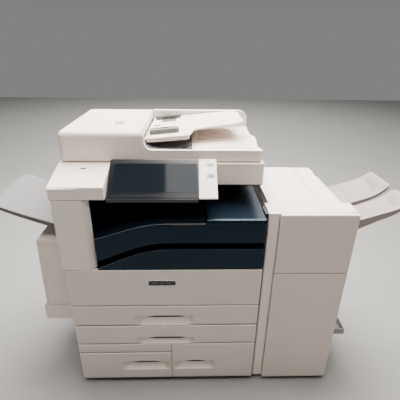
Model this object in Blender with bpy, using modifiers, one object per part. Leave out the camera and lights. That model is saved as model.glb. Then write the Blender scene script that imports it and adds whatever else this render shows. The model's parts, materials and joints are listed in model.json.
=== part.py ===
"""Office photocopier with a lifting document feeder, four paper trays and a docked finisher.

Design axes, in metres: X to the right of a person at the control panel, Y away from them, Z up.
X = 0 is the machine's left side, Y = 0 its front face, Z = 0 the floor. One root empty moves the
whole model so that its origin is the centre of its footprint.
"""

import math

import bmesh
import bpy
from mathutils import Matrix, Vector

# ---------------------------------------------------------------- driving dimensions, in metres
BODY_W = 0.740
FRONT_Y = 0.0
REAR_COVER_Y = (0.624, 0.636)
INLET_BACK_Y = 0.638
LEFT_TRAY_TIP_X = -0.270
RIGHT_TRAY_TIP_X = 1.305
CENTRE_X = (LEFT_TRAY_TIP_X + RIGHT_TRAY_TIP_X) / 2
CENTRE_Y = (FRONT_Y + INLET_BACK_Y) / 2

SKIRT_Z = 0.024
OUTPUT_Z = 0.601
SCANNER_Z = (0.888, 0.968)
LID_Z = (0.972, 1.010)
FEEDER_TOP_Z = 1.080
COLUMN_W = 0.125
WALL = 0.004
SEAM = 0.002
PANEL_T = 0.018
CUT_PAST = 0.001  # a cutter runs this far past the face it opens

# Front panels below the output area: left, right, bottom and top edge of each.
FRONTS = {
    "tray_1": (0.009, 0.739, 0.3275, 0.4275),
    "tray_2": (0.009, 0.739, 0.2275, 0.3255),
    "tray_3": (0.009, 0.3905, SKIRT_Z, 0.1765),
    "tray_4": (0.3925, 0.739, SKIRT_Z, 0.2255),
}
# Handle recess of each front: left, right, bottom and top edge.
HANDLES = {
    "tray_1": (0.247, 0.490, 0.330, 0.380),
    "tray_2": (0.247, 0.492, 0.230, 0.266),
    "tray_3": (0.172, 0.386, 0.080, 0.127),
    "tray_4": (0.397, 0.577, 0.081, 0.129),
}
HANDLE_DEPTH = 0.012
# Paper bin behind each front: left, right, bottom and top edge.
BINS = {
    "tray_1": (0.030, 0.712, 0.336, 0.420),
    "tray_2": (0.030, 0.712, 0.237, 0.318),
    "tray_3": (0.030, 0.384, 0.066, 0.170),
    "tray_4": (0.399, 0.712, 0.066, 0.215),
}
BIN_Y = (0.0185, 0.560)
BIN_WALL = 0.003

# The output trays slope down to the left of RAMP_X[1] and are level to its right.
RAMP_X = (0.240, 0.400)
RAMP_STEPS = 8
OUTPUT_X = (0.131, 0.738)
OUTPUT_DEPTH = 0.560
UPPER_TOP = (0.793, 0.33)
UPPER_SKIRT = (0.713, 0.42)
LOWER_TOP = (0.687, 0.43)

# Control panel: a wedge whose face rises from PANEL_LOW to PANEL_HIGH, as (y, z). The button
# strip beside it starts STRIP_LOW up the face and has a thinner foot.
PANEL_LOW = Vector((0.0, 0.884))
PANEL_HIGH = Vector((0.1314, 0.9863))
PANEL_BACK = [(0.1325, 0.980), (0.1265, 0.970), (0.125, 0.955)]
PANEL_FOOT = [(0.018, 0.866), (0.004, 0.872)]
STRIP_FOOT = [(0.026, 0.875), (0.0085, 0.8822)]
STRIP_LOW = 0.006
PANEL_AXIS = (0.120, 0.962)
PANEL_X = (0.187, 0.4995)
STRIP_X = (0.500, 0.564)
# Left and right edge of each button, then its low and high edge up the panel's face.
BUTTONS = {
    "power_button": (0.530, 0.554, 0.1355, 0.147),
    "home_button": (0.530, 0.555, 0.087, 0.1025),
}
BUTTON_GAP = 0.0006

# Document feeder.
FEEDER_Y = (0.143, 0.590)
FEEDER_SPLIT_X = 0.300
LIP_RADIUS = 0.040
COVER_SEAM_Z = 1.0505
INPUT_AXIS = (0.308, 1.042)
INPUT_TILT = math.radians(6)
INPUT_T = 0.008
INPUT_OUTLINE = [
    (0.306, 0.185), (0.455, 0.174), (0.470, 0.184), (0.486, 0.265), (0.655, 0.290),
    (0.684, 0.320), (0.684, 0.510), (0.655, 0.548), (0.306, 0.552),
]
# Side guides on the input tray: left and right end, then front and back edge of each.
GUIDE_X = (0.318, 0.430)
GUIDES = {"adf_guide_front": (0.225, 0.265), "adf_guide_rear": (0.495, 0.535)}
GUIDE_T = 0.020
REAR_RIM_Y = 0.560
REAR_RIM_RADIUS = 0.030
LID_AXIS = (0.598, 0.985)

# Finisher.
FIN_X = (0.760, 1.037)
FIN_FRONT_X = (0.746, 1.064)
FIN_DOOR_X = (0.786, 1.064)
FIN_Y = (0.099, 0.500)
FIN_TOP_Z = 0.827
FIN_DOOR_HINGE = (1.056, 0.012)
FIN_COVER_X = (0.7605, 0.9525)

# Left side doors.
LEFT_DOOR_Y = (0.100, 0.530)
LEFT_DOOR_AXIS = (-0.012, 0.522)
BYPASS_AXIS = (-0.1262, 0.3785)
BYPASS_R = 0.0058

SHADES = {
    "shell": ((0.80, 0.78, 0.74), 0.45, 0.0),
    "dark": ((0.012, 0.018, 0.028), 0.30, 0.0),
    "tray": ((0.70, 0.70, 0.69), 0.50, 0.0),
    "grey": ((0.35, 0.35, 0.35), 0.50, 0.0),
    "steel": ((0.62, 0.63, 0.64), 0.35, 0.9),
    "glass": ((0.55, 0.62, 0.62), 0.05, 0.0),
    "screen": ((0.03, 0.045, 0.06), 0.12, 0.0),
    "rubber": ((0.03, 0.03, 0.03), 0.85, 0.0),
    "drum": ((0.04, 0.22, 0.16), 0.20, 0.2),
}


# ---------------------------------------------------------------- helpers
def clear_scene():
    for old in list(bpy.data.objects):
        bpy.data.objects.remove(old, do_unlink=True)


def collection(name):
    made = bpy.data.collections.new(name)
    bpy.context.scene.collection.children.link(made)
    return made


def shade(name):
    """The named material, made the first time it is asked for."""
    found = bpy.data.materials.get(name)
    if found:
        return found
    colour, roughness, metallic = SHADES[name]
    made = bpy.data.materials.new(name)
    made.use_nodes = True
    surface = made.node_tree.nodes["Principled BSDF"]
    surface.inputs["Base Color"].default_value = (*colour, 1.0)
    surface.inputs["Roughness"].default_value = roughness
    surface.inputs["Metallic"].default_value = metallic
    return made


def pivot(name, place, parent=None):
    """An empty on a joint's axis. Pieces parented to it are still given in design axes."""
    made = bpy.data.objects.new(name, None)
    parts.objects.link(made)
    made.parent = parent or root
    made.location = Vector(place) - design_place(made.parent)
    made.empty_display_size = 0.03
    return made


def design_place(empty):
    """Where an empty stands in design axes. The root is their origin."""
    place = Vector((0.0, 0.0, 0.0))
    while empty is not root:
        place += Vector(empty.location)
        empty = empty.parent
    return place


def add(name, mesh, look, parent=None):
    """Makes a mesh given in design axes into a part, or into a cutter if look is None."""
    made = bpy.data.objects.new(name, mesh)
    if look:
        parts.objects.link(made)
        mesh.materials.clear()
        mesh.materials.append(shade(look))
    else:
        cutters.objects.link(made)
        made.hide_render = True
        made.display_type = "WIRE"
    made.parent = parent or root
    made.location = -design_place(made.parent)
    return made


def block_mesh(name, low, high):
    shape = bmesh.new()
    bmesh.ops.create_cube(shape, size=1.0)
    low, high = Vector(low), Vector(high)
    bmesh.ops.scale(shape, vec=high - low, verts=shape.verts)
    bmesh.ops.translate(shape, vec=(low + high) / 2, verts=shape.verts)
    mesh = bpy.data.meshes.new(name)
    shape.to_mesh(mesh)
    shape.free()
    return mesh


def block(name, x, y, z, look, parent=None):
    """A box between two values on each axis."""
    low, high = zip(x, y, z)
    return add(name, block_mesh(name, low, high), look, parent)


def prism_mesh(name, outline, axis, span):
    """A flat outline pushed along an axis. The outline is (y, z) for X, (x, z) for Y, (x, y) for Z."""
    curve = bpy.data.curves.new(name, "CURVE")
    curve.dimensions = "2D"
    curve.fill_mode = "BOTH"
    curve.extrude = (span[1] - span[0]) / 2
    spline = curve.splines.new("POLY")
    spline.points.add(len(outline) - 1)
    for point, (u, v) in zip(spline.points, outline):
        point.co = (u, v, 0.0, 1.0)
    spline.use_cyclic_u = True
    flat = bpy.data.objects.new(name, curve)
    parts.objects.link(flat)
    bpy.context.view_layer.update()
    mesh = bpy.data.meshes.new_from_object(flat.evaluated_get(bpy.context.evaluated_depsgraph_get()))
    bpy.data.objects.remove(flat, do_unlink=True)
    middle = (span[0] + span[1]) / 2
    columns = {
        "X": [(0, 0, 1, middle), (1, 0, 0, 0), (0, 1, 0, 0), (0, 0, 0, 1)],
        "Y": [(1, 0, 0, 0), (0, 0, -1, middle), (0, 1, 0, 0), (0, 0, 0, 1)],
        "Z": [(1, 0, 0, 0), (0, 1, 0, 0), (0, 0, 1, middle), (0, 0, 0, 1)],
    }
    mesh.transform(Matrix(columns[axis]))
    shape = bmesh.new()
    shape.from_mesh(mesh)
    bmesh.ops.remove_doubles(shape, verts=shape.verts, dist=1e-5)
    bmesh.ops.recalc_face_normals(shape, faces=shape.faces)
    shape.to_mesh(mesh)
    shape.free()
    return mesh


def prism(name, outline, axis, span, look, parent=None):
    return add(name, prism_mesh(name, outline, axis, span), look, parent)


def roller(name, centre, radius, span, look, parent=None, sides=24):
    """A cylinder along Y, with its centre at (x, z)."""
    shape = bmesh.new()
    bmesh.ops.create_cone(
        shape, cap_ends=True, segments=sides, radius1=radius, radius2=radius, depth=span[1] - span[0]
    )
    turn = Matrix.Rotation(math.radians(90), 4, "X")
    move = Matrix.Translation((centre[0], (span[0] + span[1]) / 2, centre[1]))
    bmesh.ops.transform(shape, matrix=move @ turn, verts=shape.verts)
    mesh = bpy.data.meshes.new(name)
    shape.to_mesh(mesh)
    shape.free()
    mesh.shade_smooth()
    mesh.set_sharp_from_angle(angle=math.radians(40))
    return add(name, mesh, look, parent)


def turned(name, profile, place, look, parent=None, steps=16):
    """A profile of (radius, z), top to bottom, turned about a vertical axis at place (x, y)."""
    shape = bmesh.new()
    points = [shape.verts.new((radius, 0.0, z)) for radius, z in profile]
    for start, end in zip(points, points[1:]):
        shape.edges.new((start, end))
    mesh = bpy.data.meshes.new(name)
    shape.to_mesh(mesh)
    shape.free()
    made = add(name, mesh, look, parent)
    made.location += Vector((*place, 0.0))
    screw = made.modifiers.new("Turn", "SCREW")
    screw.steps = steps
    screw.render_steps = steps
    screw.use_merge_vertices = True
    screw.merge_threshold = 0.0001
    return made


def carve(target, cutter_mesh):
    """Cuts a mesh given in design axes out of a part."""
    cutter = add(f"{target.name}_cut_{len(target.modifiers) + 1}", cutter_mesh, None)
    cut = target.modifiers.new("Cut", "BOOLEAN")
    cut.operation = "DIFFERENCE"
    cut.solver = "EXACT"
    cut.object = cutter
    return target


def carve_block(target, x, y, z):
    low, high = zip(x, y, z)
    return carve(target, block_mesh("cutter", low, high))


def carve_prism(target, outline, axis, span):
    return carve(target, prism_mesh("cutter", outline, axis, span))


def arc(centre, radius, start, end, steps):
    """Points on an arc, from one angle to another in degrees."""
    turns = [math.radians(start + (end - start) * step / steps) for step in range(steps + 1)]
    return [(centre[0] + radius * math.cos(turn), centre[1] + radius * math.sin(turn)) for turn in turns]


def tilt_mesh(obj, axis_point, angle):
    """Turns a part's mesh about a line along Y through (x, z), lifting its right end."""
    there = Matrix.Translation((axis_point[0], 0.0, axis_point[1]))
    obj.data.transform(there @ Matrix.Rotation(-angle, 4, "Y") @ there.inverted())


def ramp(surface, x):
    """Height of an output surface (level height, slope) at x."""
    level, slope = surface
    start, end = RAMP_X
    if x >= end:
        return level
    if x >= start:
        return level - slope * (end - x) ** 2 / (2 * (end - start))
    return level - slope * (end - start) / 2 - slope * (start - x)


def ramp_line(surface, x_from, x_to, drop=0.0):
    """Points along an output surface from left to right, lowered by drop."""
    start, end = RAMP_X
    bends = [start + (end - start) * step / RAMP_STEPS for step in range(RAMP_STEPS + 1)]
    return [(x, ramp(surface, x) - drop) for x in [x_from, *bends, x_to]]


# ---------------------------------------------------------------- main machine, fixed parts
def make_frame():
    block("base_plate", (0.010, 0.730), (0.024, 0.620), (0.048, 0.058), "steel")
    block("mid_shelf", (0.010, 0.730), (0.032, 0.620), (0.4225, 0.4265), "steel")
    foot = [(0.0, 0.0476), (0.008, 0.0476), (0.008, 0.012), (0.021, 0.010), (0.022, 0.0), (0.0, 0.0)]
    places = {
        "foot_front_left": (0.060, 0.080),
        "foot_front_right": (0.680, 0.080),
        "foot_rear_left": (0.060, 0.560),
        "foot_rear_right": (0.680, 0.560),
    }
    for name, place in places.items():
        turned(name, foot, place, "rubber")


def make_covers():
    """Side and rear covers, the left front column and the cap on it."""
    side = [
        (0.022, 0.030), (0.622, 0.030), (0.622, 0.883),
        (0.1325, 0.883), (0.1325, 0.600), (0.022, 0.600),
    ]
    left = prism("left_side_cover", side, "X", (0.0, 0.008), "shell")
    carve_block(left, (-0.001, 0.009), (0.135, 0.425), (0.722, 0.748))
    block("right_side_cover", (0.734, BODY_W), (0.022, 0.622), (0.030, 0.598), "shell")
    rear = block("rear_cover", (0.0, BODY_W), REAR_COVER_Y, (0.060, 0.960), "shell")
    carve_block(rear, (0.0595, 0.1105), (0.620, 0.640), (0.1095, 0.1505))
    inlet = block("power_inlet", (0.060, 0.110), (0.598, INLET_BACK_Y), (0.110, 0.150), "rubber")
    carve_block(inlet, (0.068, 0.102), (0.614, 0.640), (0.118, 0.142))

    corner = arc((0.008, 0.008), 0.008, 180, 270, 4)
    footprint = [(0.0, 0.131), *corner, (0.105, 0.0), (COLUMN_W, 0.020), (COLUMN_W, 0.131)]
    column = prism("left_column", footprint, "Z", (OUTPUT_Z, 0.882), "shell")
    carve_block(column, (WALL, COLUMN_W - WALL), (0.024, 0.132), (0.605, 0.878))
    slope = [(0.0, 0.884), (0.143, 0.884), (0.143, 0.968), (0.0, 0.929)]
    cap = prism("column_cap", slope, "X", (0.0, 0.184), "shell")
    carve_block(cap, (WALL, 0.180), (WALL, 0.139), (0.880, 0.925))


def make_scanner():
    footprint = [
        (0.0, 0.1445), (0.186, 0.1445), (0.186, 0.130),
        (BODY_W, 0.130), (BODY_W, 0.612), (0.0, 0.612),
    ]
    housing = prism("scanner_housing", footprint, "Z", SCANNER_Z, "shell")
    carve_block(housing, (0.030, 0.710), (0.170, 0.590), (0.896, 0.960))
    carve_block(housing, (0.110, 0.650), (0.185, 0.545), (0.955, 0.970))
    carve_block(housing, (0.102, 0.658), (0.177, 0.553), (0.963, 0.970))
    block("platen_glass", (0.1025, 0.6575), (0.1775, 0.5525), (0.9633, 0.9678), "glass")
    carriage = pivot("carriage_start", (0.075, 0.375, 0.938))
    block("scan_carriage", (0.050, 0.100), (0.190, 0.560), (0.925, 0.950), "dark", carriage)


def make_output_trays():
    """The two dark output trays, each a curved shell that is open below."""
    left, right = OUTPUT_X
    upper = [*ramp_line(UPPER_TOP, left, right), *reversed(ramp_line(UPPER_SKIRT, left, right))]
    tray = prism("upper_output_tray", upper, "Y", (0.001, OUTPUT_DEPTH), "dark")
    below = OUTPUT_Z - 0.051
    inner = (left + WALL, right - WALL)
    hollow = [*ramp_line(UPPER_TOP, *inner, WALL), (inner[1], below), (inner[0], below)]
    hollow_y = (0.001 + WALL, OUTPUT_DEPTH + CUT_PAST)
    carve_prism(tray, hollow, "Y", hollow_y)
    carve_block(tray, (0.5262, 0.5278), (0.0, 0.004), (0.700, 0.800))

    lower = [*ramp_line(LOWER_TOP, left, right), (right, OUTPUT_Z), (left, OUTPUT_Z)]
    floor = prism("lower_output_tray", lower, "Y", (0.001, OUTPUT_DEPTH), "dark")
    start = 0.160
    hollow = [*ramp_line(LOWER_TOP, start, inner[1], WALL), (inner[1], below), (start, below)]
    carve_prism(floor, hollow, "Y", hollow_y)

    hinge = pivot("transport_cover_hinge", (0.633, 0.558, 0.808))
    edge = arc((0.011, 0.798), 0.010, 180, 90, 5)
    profile = [(0.001, 0.7945), *edge, (0.558, 0.808), (0.558, 0.7945)]
    cover = prism("transport_cover", profile, "X", (0.5285, 0.7375), "dark", hinge)
    carve_block(cover, (0.6300, 0.6325), (0.060, 0.250), (0.806, 0.810))


# ---------------------------------------------------------------- main machine, moving parts
def make_front_door():
    axis = (0.008, 0.438)
    hinge = pivot("front_door_hinge", (0.374, *axis))
    profile = [*arc(axis, 0.008, 180, 360, 8), (0.016, 0.5985), (0.0, 0.5985)]
    prism("front_door", profile, "X", (0.009, 0.739), "shell", hinge)


def make_paper_trays():
    for name, (left, right, bottom, top) in FRONTS.items():
        slide = pivot(f"{name}_slide", ((left + right) / 2, 0.0, (bottom + top) / 2))
        front = block(f"{name}_front", (left, right), (FRONT_Y, PANEL_T), (bottom, top), "shell", slide)
        grip = HANDLES[name]
        carve_block(front, grip[:2], (-0.001, HANDLE_DEPTH), grip[2:])
        make_bin(name, slide)
    block("tray_top_strip", (0.009, 0.3905), (FRONT_Y, PANEL_T), (0.1785, 0.2255), "shell")


def make_bin(name, slide):
    """A paper bin, open at the top, and the plate that lifts its paper."""
    left, right, bottom, top = BINS[name]
    front, back = BIN_Y
    made = block(f"{name}_bin", (left, right), BIN_Y, (bottom, top), "tray", slide)
    inner_x = (left + BIN_WALL, right - BIN_WALL)
    carve_block(made, inner_x, (front + BIN_WALL, back - BIN_WALL), (bottom + BIN_WALL, top + 0.001))
    plate_z = (bottom + BIN_WALL + 0.002, bottom + BIN_WALL + 0.004)
    tandem = name in ("tray_3", "tray_4")
    plate_x = (left + 0.010, right - 0.010) if tandem else (left + 0.030, 0.560)
    axis_x = (plate_x[0] + plate_x[1]) / 2 if tandem else plate_x[1] - 0.004
    lift = pivot(f"{name}_lift_axis", (axis_x, (front + back) / 2, sum(plate_z) / 2), slide)
    block(f"{name}_lift_plate", plate_x, (front + 0.035, back - 0.040), plate_z, "steel", lift)


def make_print_engine():
    """Toner bottle, drum and fuser rollers in the space behind the front door."""
    roller("toner_bottle", (0.240, 0.520), 0.036, (0.050, 0.430), "rubber")
    drum = pivot("drum_axis", (0.140, 0.225, 0.500))
    roller("imaging_drum", (0.140, 0.500), 0.015, (0.050, 0.400), "drum", drum)
    for name, x in {"fuser_roller": 0.048, "pressure_roller": 0.0806}.items():
        spin = pivot(f"{name}_axis", (x, 0.235, 0.560))
        roller(name, (x, 0.560), 0.016, (0.050, 0.420), "rubber", spin)


def make_control_panel():
    hinge = pivot("panel_hinge", (0.375, *PANEL_AXIS))
    profile = [tuple(PANEL_LOW), tuple(PANEL_HIGH), *PANEL_BACK, *PANEL_FOOT]
    prism("control_panel", profile, "X", PANEL_X, "dark", hinge)
    profile = [tuple(on_panel(STRIP_LOW, 0.0)), tuple(PANEL_HIGH), *PANEL_BACK, *STRIP_FOOT]
    strip = prism("button_strip", profile, "X", STRIP_X, "shell", hinge)
    slab("touch_screen", (0.205, 0.494, 0.030, 0.146), (0.0004, 0.0020), "screen", hinge)
    for name, (left, right, low, high) in BUTTONS.items():
        pocket = (left - BUTTON_GAP, right + BUTTON_GAP, low - BUTTON_GAP, high + BUTTON_GAP)
        carve(strip, slab_mesh("cutter", pocket, (-0.0045, 0.002)))
        middle = on_panel((low + high) / 2, 0.0)
        press = pivot(f"{name}_press", ((left + right) / 2, *middle), hinge)
        slab(name, (left, right, low, high), (-0.0022, 0.0010), "tray", press)


def on_panel(along, above):
    """The (y, z) point some way up the panel's face and some way above it."""
    up = (PANEL_HIGH - PANEL_LOW).normalized()
    out = Vector((-up.y, up.x))
    return PANEL_LOW + up * along + out * above


def slab_mesh(name, area, heights):
    """A thin plate on the panel's face: left, right, low and high edge, and its two heights."""
    left, right, low, high = area
    corners = [(low, heights[0]), (high, heights[0]), (high, heights[1]), (low, heights[1])]
    outline = [tuple(on_panel(along, above)) for along, above in corners]
    return prism_mesh(name, outline, "X", (left, right))


def slab(name, area, heights, look, parent):
    return add(name, slab_mesh(name, area, heights), look, parent)


def make_feeder():
    lid = pivot("feeder_hinge", (0.367, *LID_AXIS))
    left, right = 0.002, 0.732
    lip_x = FEEDER_SPLIT_X + SEAM
    low_z, rim_z = LID_Z
    corner = arc((right - REAR_RIM_RADIUS, FEEDER_TOP_Z - REAR_RIM_RADIUS), REAR_RIM_RADIUS, 0, 90, 6)
    step = [(lip_x, FEEDER_TOP_Z), (lip_x, 1.050), (left, 1.050)]
    base = prism("adf_base", [(left, low_z), (right, low_z), *corner, *step], "Y", FEEDER_Y, "shell", lid)
    bend = arc((lip_x + LIP_RADIUS, 1.050), LIP_RADIUS, 180, 270, 6)
    past_right, past_top = right + CUT_PAST, FEEDER_TOP_Z + CUT_PAST
    scoop = [(lip_x, past_top), *bend, (past_right, rim_z), (past_right, past_top)]
    carve_prism(base, scoop, "Y", (FEEDER_Y[0] - CUT_PAST, REAR_RIM_Y))
    carve_block(base, (0.010, 0.292), (0.152, 0.582), (0.985, 1.052))
    carve_block(base, (0.288, 0.332), (0.190, 0.550), (1.028, 1.054))
    carve_block(base, (0.380, 0.724), (0.165, 0.552), (1.003, rim_z + 0.010))
    make_feeder_cover(lid)
    make_input_tray(lid)
    feed = pivot("feed_roller_axis", (0.262, 0.365, 1.022), lid)
    roller("adf_feed_roller", (0.262, 1.022), 0.016, (0.290, 0.440), "rubber", feed)


def make_feeder_cover(lid):
    hinge = pivot("feeder_cover_hinge", (0.002, 0.366, COVER_SEAM_Z), lid)
    span = (0.002, FEEDER_SPLIT_X)
    cover = block("adf_cover", span, FEEDER_Y, (COVER_SEAM_Z, FEEDER_TOP_Z), "shell", hinge)
    inner_x = (span[0] + WALL, span[1] - WALL)
    inner_y = (FEEDER_Y[0] + WALL, FEEDER_Y[1] - WALL)
    carve_block(cover, inner_x, inner_y, (COVER_SEAM_Z - 0.001, FEEDER_TOP_Z - WALL))


def make_input_tray(lid):
    """The sloping tray that originals lie on, and its two side guides."""
    hinge = pivot("input_tray_hinge", (INPUT_AXIS[0], 0.367, INPUT_AXIS[1]), lid)
    heights = (INPUT_AXIS[1] - INPUT_T / 2, INPUT_AXIS[1] + INPUT_T / 2)
    tray = prism("adf_input_tray", INPUT_OUTLINE, "Z", heights, "shell", hinge)
    tilt_mesh(tray, INPUT_AXIS, INPUT_TILT)
    base_z = heights[1] + 0.0004
    for name, y in GUIDES.items():
        slide = pivot(f"{name}_slide", (sum(GUIDE_X) / 2, sum(y) / 2, base_z), hinge)
        guide = block(name, GUIDE_X, y, (base_z, base_z + GUIDE_T), "grey", slide)
        tilt_mesh(guide, INPUT_AXIS, INPUT_TILT)


def make_left_side():
    """The left access door with its folding bypass tray, the door below it and the output tray."""
    outer_foot, outer_top = (-0.133, 0.356), (-0.122, 0.661)
    hinge = pivot("left_door_hinge", (*LEFT_DOOR_AXIS, 0.512))
    profile = [
        (-0.004, 0.356), outer_foot, (-0.1324, 0.371), (-0.1199, 0.371), (-0.1095, 0.661),
        outer_top, (-0.122, 0.668), (-0.004, 0.668),
    ]
    door = prism("left_door", profile, "Y", LEFT_DOOR_Y, "shell", hinge)
    carve_block(door, (-0.100, -0.003), (0.104, 0.526), (0.362, 0.664))

    fold = pivot("bypass_hinge", (BYPASS_AXIS[0], 0.315, BYPASS_AXIS[1]), hinge)
    flap = [*arc(BYPASS_AXIS, BYPASS_R, 180, 360, 8), (-0.1104, 0.6602), (-0.1220, 0.6602)]
    prism("bypass_tray", flap, "Y", LEFT_DOOR_Y, "shell", fold)

    low_hinge = pivot("lower_left_door_hinge", (*LEFT_DOOR_AXIS, 0.314))
    low_door = block("lower_left_door", (-0.145, -0.004), LEFT_DOOR_Y, (0.276, 0.352), "shell", low_hinge)
    carve_block(low_door, (-0.141, -0.003), (0.104, 0.526), (0.280, 0.348))

    top = [(-0.0005, 0.716), (-0.068, 0.742), (-0.150, 0.771), (-0.225, 0.801), (LEFT_TRAY_TIP_X, 0.824)]
    under = [(LEFT_TRAY_TIP_X, 0.814), (-0.225, 0.789), (-0.150, 0.759), (-0.068, 0.728), (-0.0005, 0.696)]
    prism("left_output_tray", [*top, *under], "Y", (0.110, 0.430), "tray")


# ---------------------------------------------------------------- finisher
def make_finisher_body():
    cabinet = block("finisher_cabinet", FIN_X, FIN_Y, (0.030, 0.826), "shell")
    carve_block(cabinet, (0.765, 1.032), (0.098, 0.494), (0.036, 0.795))
    carve_block(cabinet, (0.7595, 0.9535), (0.098, 0.498), (0.8025, 0.830))
    carve_block(cabinet, (0.755, 0.770), (0.110, 0.420), (0.700, 0.725))
    carve_block(cabinet, (1.028, 1.040), (0.110, 0.425), (0.750, 0.775))

    left, right = FIN_FRONT_X
    pillar_right = FIN_DOOR_X[0] - SEAM
    footprint = [
        (left, 0.012), (pillar_right, 0.012), (pillar_right, 0.024),
        (right, 0.024), (right, 0.098), (left, 0.098),
    ]
    frame = prism("finisher_front_frame", footprint, "Z", (0.026, FIN_TOP_Z), "shell")
    carve_block(frame, (0.800, 1.040), (0.0, 0.099), (0.060, 0.790))
    foot = [(0.0, 0.0256), (0.010, 0.0256), (0.010, 0.010), (0.019, 0.008), (0.020, 0.0), (0.0, 0.0)]
    turned("finisher_foot_front", foot, (1.050, 0.062), "rubber")
    rear_foot = [(0.0, 0.0296), (0.010, 0.0296), *foot[2:]]
    turned("finisher_foot_rear", rear_foot, (1.000, 0.460), "rubber")


def make_finisher_moving():
    spans = {"finisher_upper_door": (0.5815, 0.8265), "finisher_lower_door": (SKIRT_Z, 0.5785)}
    for name, span in spans.items():
        hinge = pivot(f"{name}_hinge", (*FIN_DOOR_HINGE, sum(span) / 2))
        block(name, FIN_DOOR_X, (FRONT_Y, 0.020), span, "shell", hinge)

    hinge = pivot("finisher_top_hinge", (0.8565, 0.4975, FIN_TOP_Z))
    block("finisher_top_cover", FIN_COVER_X, (0.0995, 0.4975), (0.803, FIN_TOP_Z), "shell", hinge)

    rise = pivot("stacker_slide", (1.0385, 0.265, 0.730))
    top = [(1.0385, 0.730), (1.110, 0.752), (1.180, 0.775), (1.256, 0.802), (RIGHT_TRAY_TIP_X, 0.838)]
    under = [(RIGHT_TRAY_TIP_X, 0.826), (1.256, 0.788), (1.180, 0.759), (1.110, 0.732), (1.0385, 0.690)]
    stacker = prism("stacker_tray", [*top, *under], "Y", (0.100, 0.430), "tray", rise)
    carve_block(stacker, (1.140, 1.310), (0.225, 0.255), (0.700, 0.900))

    axis = (1.0545, 0.180)
    fold = pivot("booklet_hinge", (axis[0], 0.201, axis[1]))
    outline = [*arc(axis, 0.015, 90, 270, 8), (1.169, 0.165), (1.169, 0.195)]
    booklet = prism("booklet_tray", outline, "Y", (0.102, 0.300), "tray", fold)
    carve_block(booklet, (1.075, 1.163), (0.108, 0.294), (0.171, 0.196))


clear_scene()
parts = collection("photocopier")
cutters = collection("cutters")
root = bpy.data.objects.new("machine_origin", None)
root.location = (-CENTRE_X, -CENTRE_Y, 0.0)
parts.objects.link(root)

make_frame()
make_covers()
make_scanner()
make_output_trays()
make_front_door()
make_paper_trays()
make_print_engine()
make_control_panel()
make_feeder()
make_left_side()
make_finisher_body()
make_finisher_moving()
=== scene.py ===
"""Looks of the office photocopier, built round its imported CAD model.

Every mesh is in design axes: X from the main unit's left side, Y back from its front face and
Z up from the floor, in metres. ORIGIN is where that corner stands in the frame.
"""

import json
import math

import bmesh
import bpy
from mathutils import Matrix, Vector

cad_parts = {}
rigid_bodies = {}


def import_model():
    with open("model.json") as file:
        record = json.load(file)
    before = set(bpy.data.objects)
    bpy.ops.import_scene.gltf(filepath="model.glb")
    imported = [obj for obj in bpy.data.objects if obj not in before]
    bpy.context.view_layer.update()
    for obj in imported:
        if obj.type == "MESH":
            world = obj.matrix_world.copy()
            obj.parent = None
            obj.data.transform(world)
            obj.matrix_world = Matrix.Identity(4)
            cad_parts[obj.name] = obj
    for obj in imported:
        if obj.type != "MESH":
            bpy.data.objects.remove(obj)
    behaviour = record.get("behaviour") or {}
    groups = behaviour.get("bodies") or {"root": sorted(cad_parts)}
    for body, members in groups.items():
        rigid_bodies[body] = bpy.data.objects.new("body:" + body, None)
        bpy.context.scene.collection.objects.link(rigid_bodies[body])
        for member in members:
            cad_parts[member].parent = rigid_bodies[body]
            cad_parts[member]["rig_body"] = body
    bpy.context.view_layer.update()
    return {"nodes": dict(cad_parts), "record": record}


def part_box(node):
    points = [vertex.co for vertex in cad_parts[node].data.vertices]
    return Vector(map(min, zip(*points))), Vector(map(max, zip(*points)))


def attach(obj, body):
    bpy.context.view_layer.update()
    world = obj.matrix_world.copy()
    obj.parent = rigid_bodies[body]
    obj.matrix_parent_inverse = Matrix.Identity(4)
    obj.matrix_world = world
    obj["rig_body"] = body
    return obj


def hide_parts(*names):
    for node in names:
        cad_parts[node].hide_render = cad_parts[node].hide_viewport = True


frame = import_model()

SCENE = bpy.context.scene
ORIGIN = Vector((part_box("left_side_cover")[0].x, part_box("front_door")[0].y, 0.0))
BODY_OF = {name: node["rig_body"] for name, node in frame["nodes"].items()}
SLOT_OF = {row["node"]: row["material_slot"] for row in frame["record"]["subparts"]}
SHARP = math.radians(50)


# ---------------------------------------------------------------- camera, lights and floor
CAMERA_PLACE = (-0.0471, -1.3625, 1.3659)
CAMERA_YAW = math.radians(1.78)
CAMERA_DOWN = math.radians(24.74)
CAMERA_ROLL = math.radians(0.776)
CAMERA_LENS = 30.86

# Area lights: name, place, what it points at, size, power and colour. The panel light is the
# bright patch that the screen reflects.
LIGHTS = [
    ("ceiling_light", (0.1, 0.62, 3.1), (0.0, 0.1, 0.6), (2.2, 1.9), 400, (1.0, 0.95, 0.89)),
    ("front_light", (-0.1, -1.42, 3.3), (0.0, -0.5, 0.4), (2.6, 0.6), 58, (1.0, 0.93, 0.86)),
    ("left_light", (-3.0, 0.2, 1.9), (0.0, 0.0, 0.6), (1.6, 1.6), 8, (0.92, 0.96, 1.0)),
    ("panel_light", (0.22, -0.55, 3.0), (0.22, -0.5, 0.0), (1.0, 1.3), 13, (1.0, 0.98, 0.95)),
    ("backdrop_light", (0.0, 4.6, 4.2), (0.0, 4.0, 0.0), (6.0, 3.0), 420, (1.0, 0.98, 0.95)),
]
FLOOR_COLOUR = (0.3, 0.296, 0.288)
SKY_LOW = (0.235, 0.23, 0.224, 1.0)
SKY_HIGH = (0.09, 0.095, 0.1, 1.0)


def link(made):
    SCENE.collection.objects.link(made)
    return made


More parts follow.
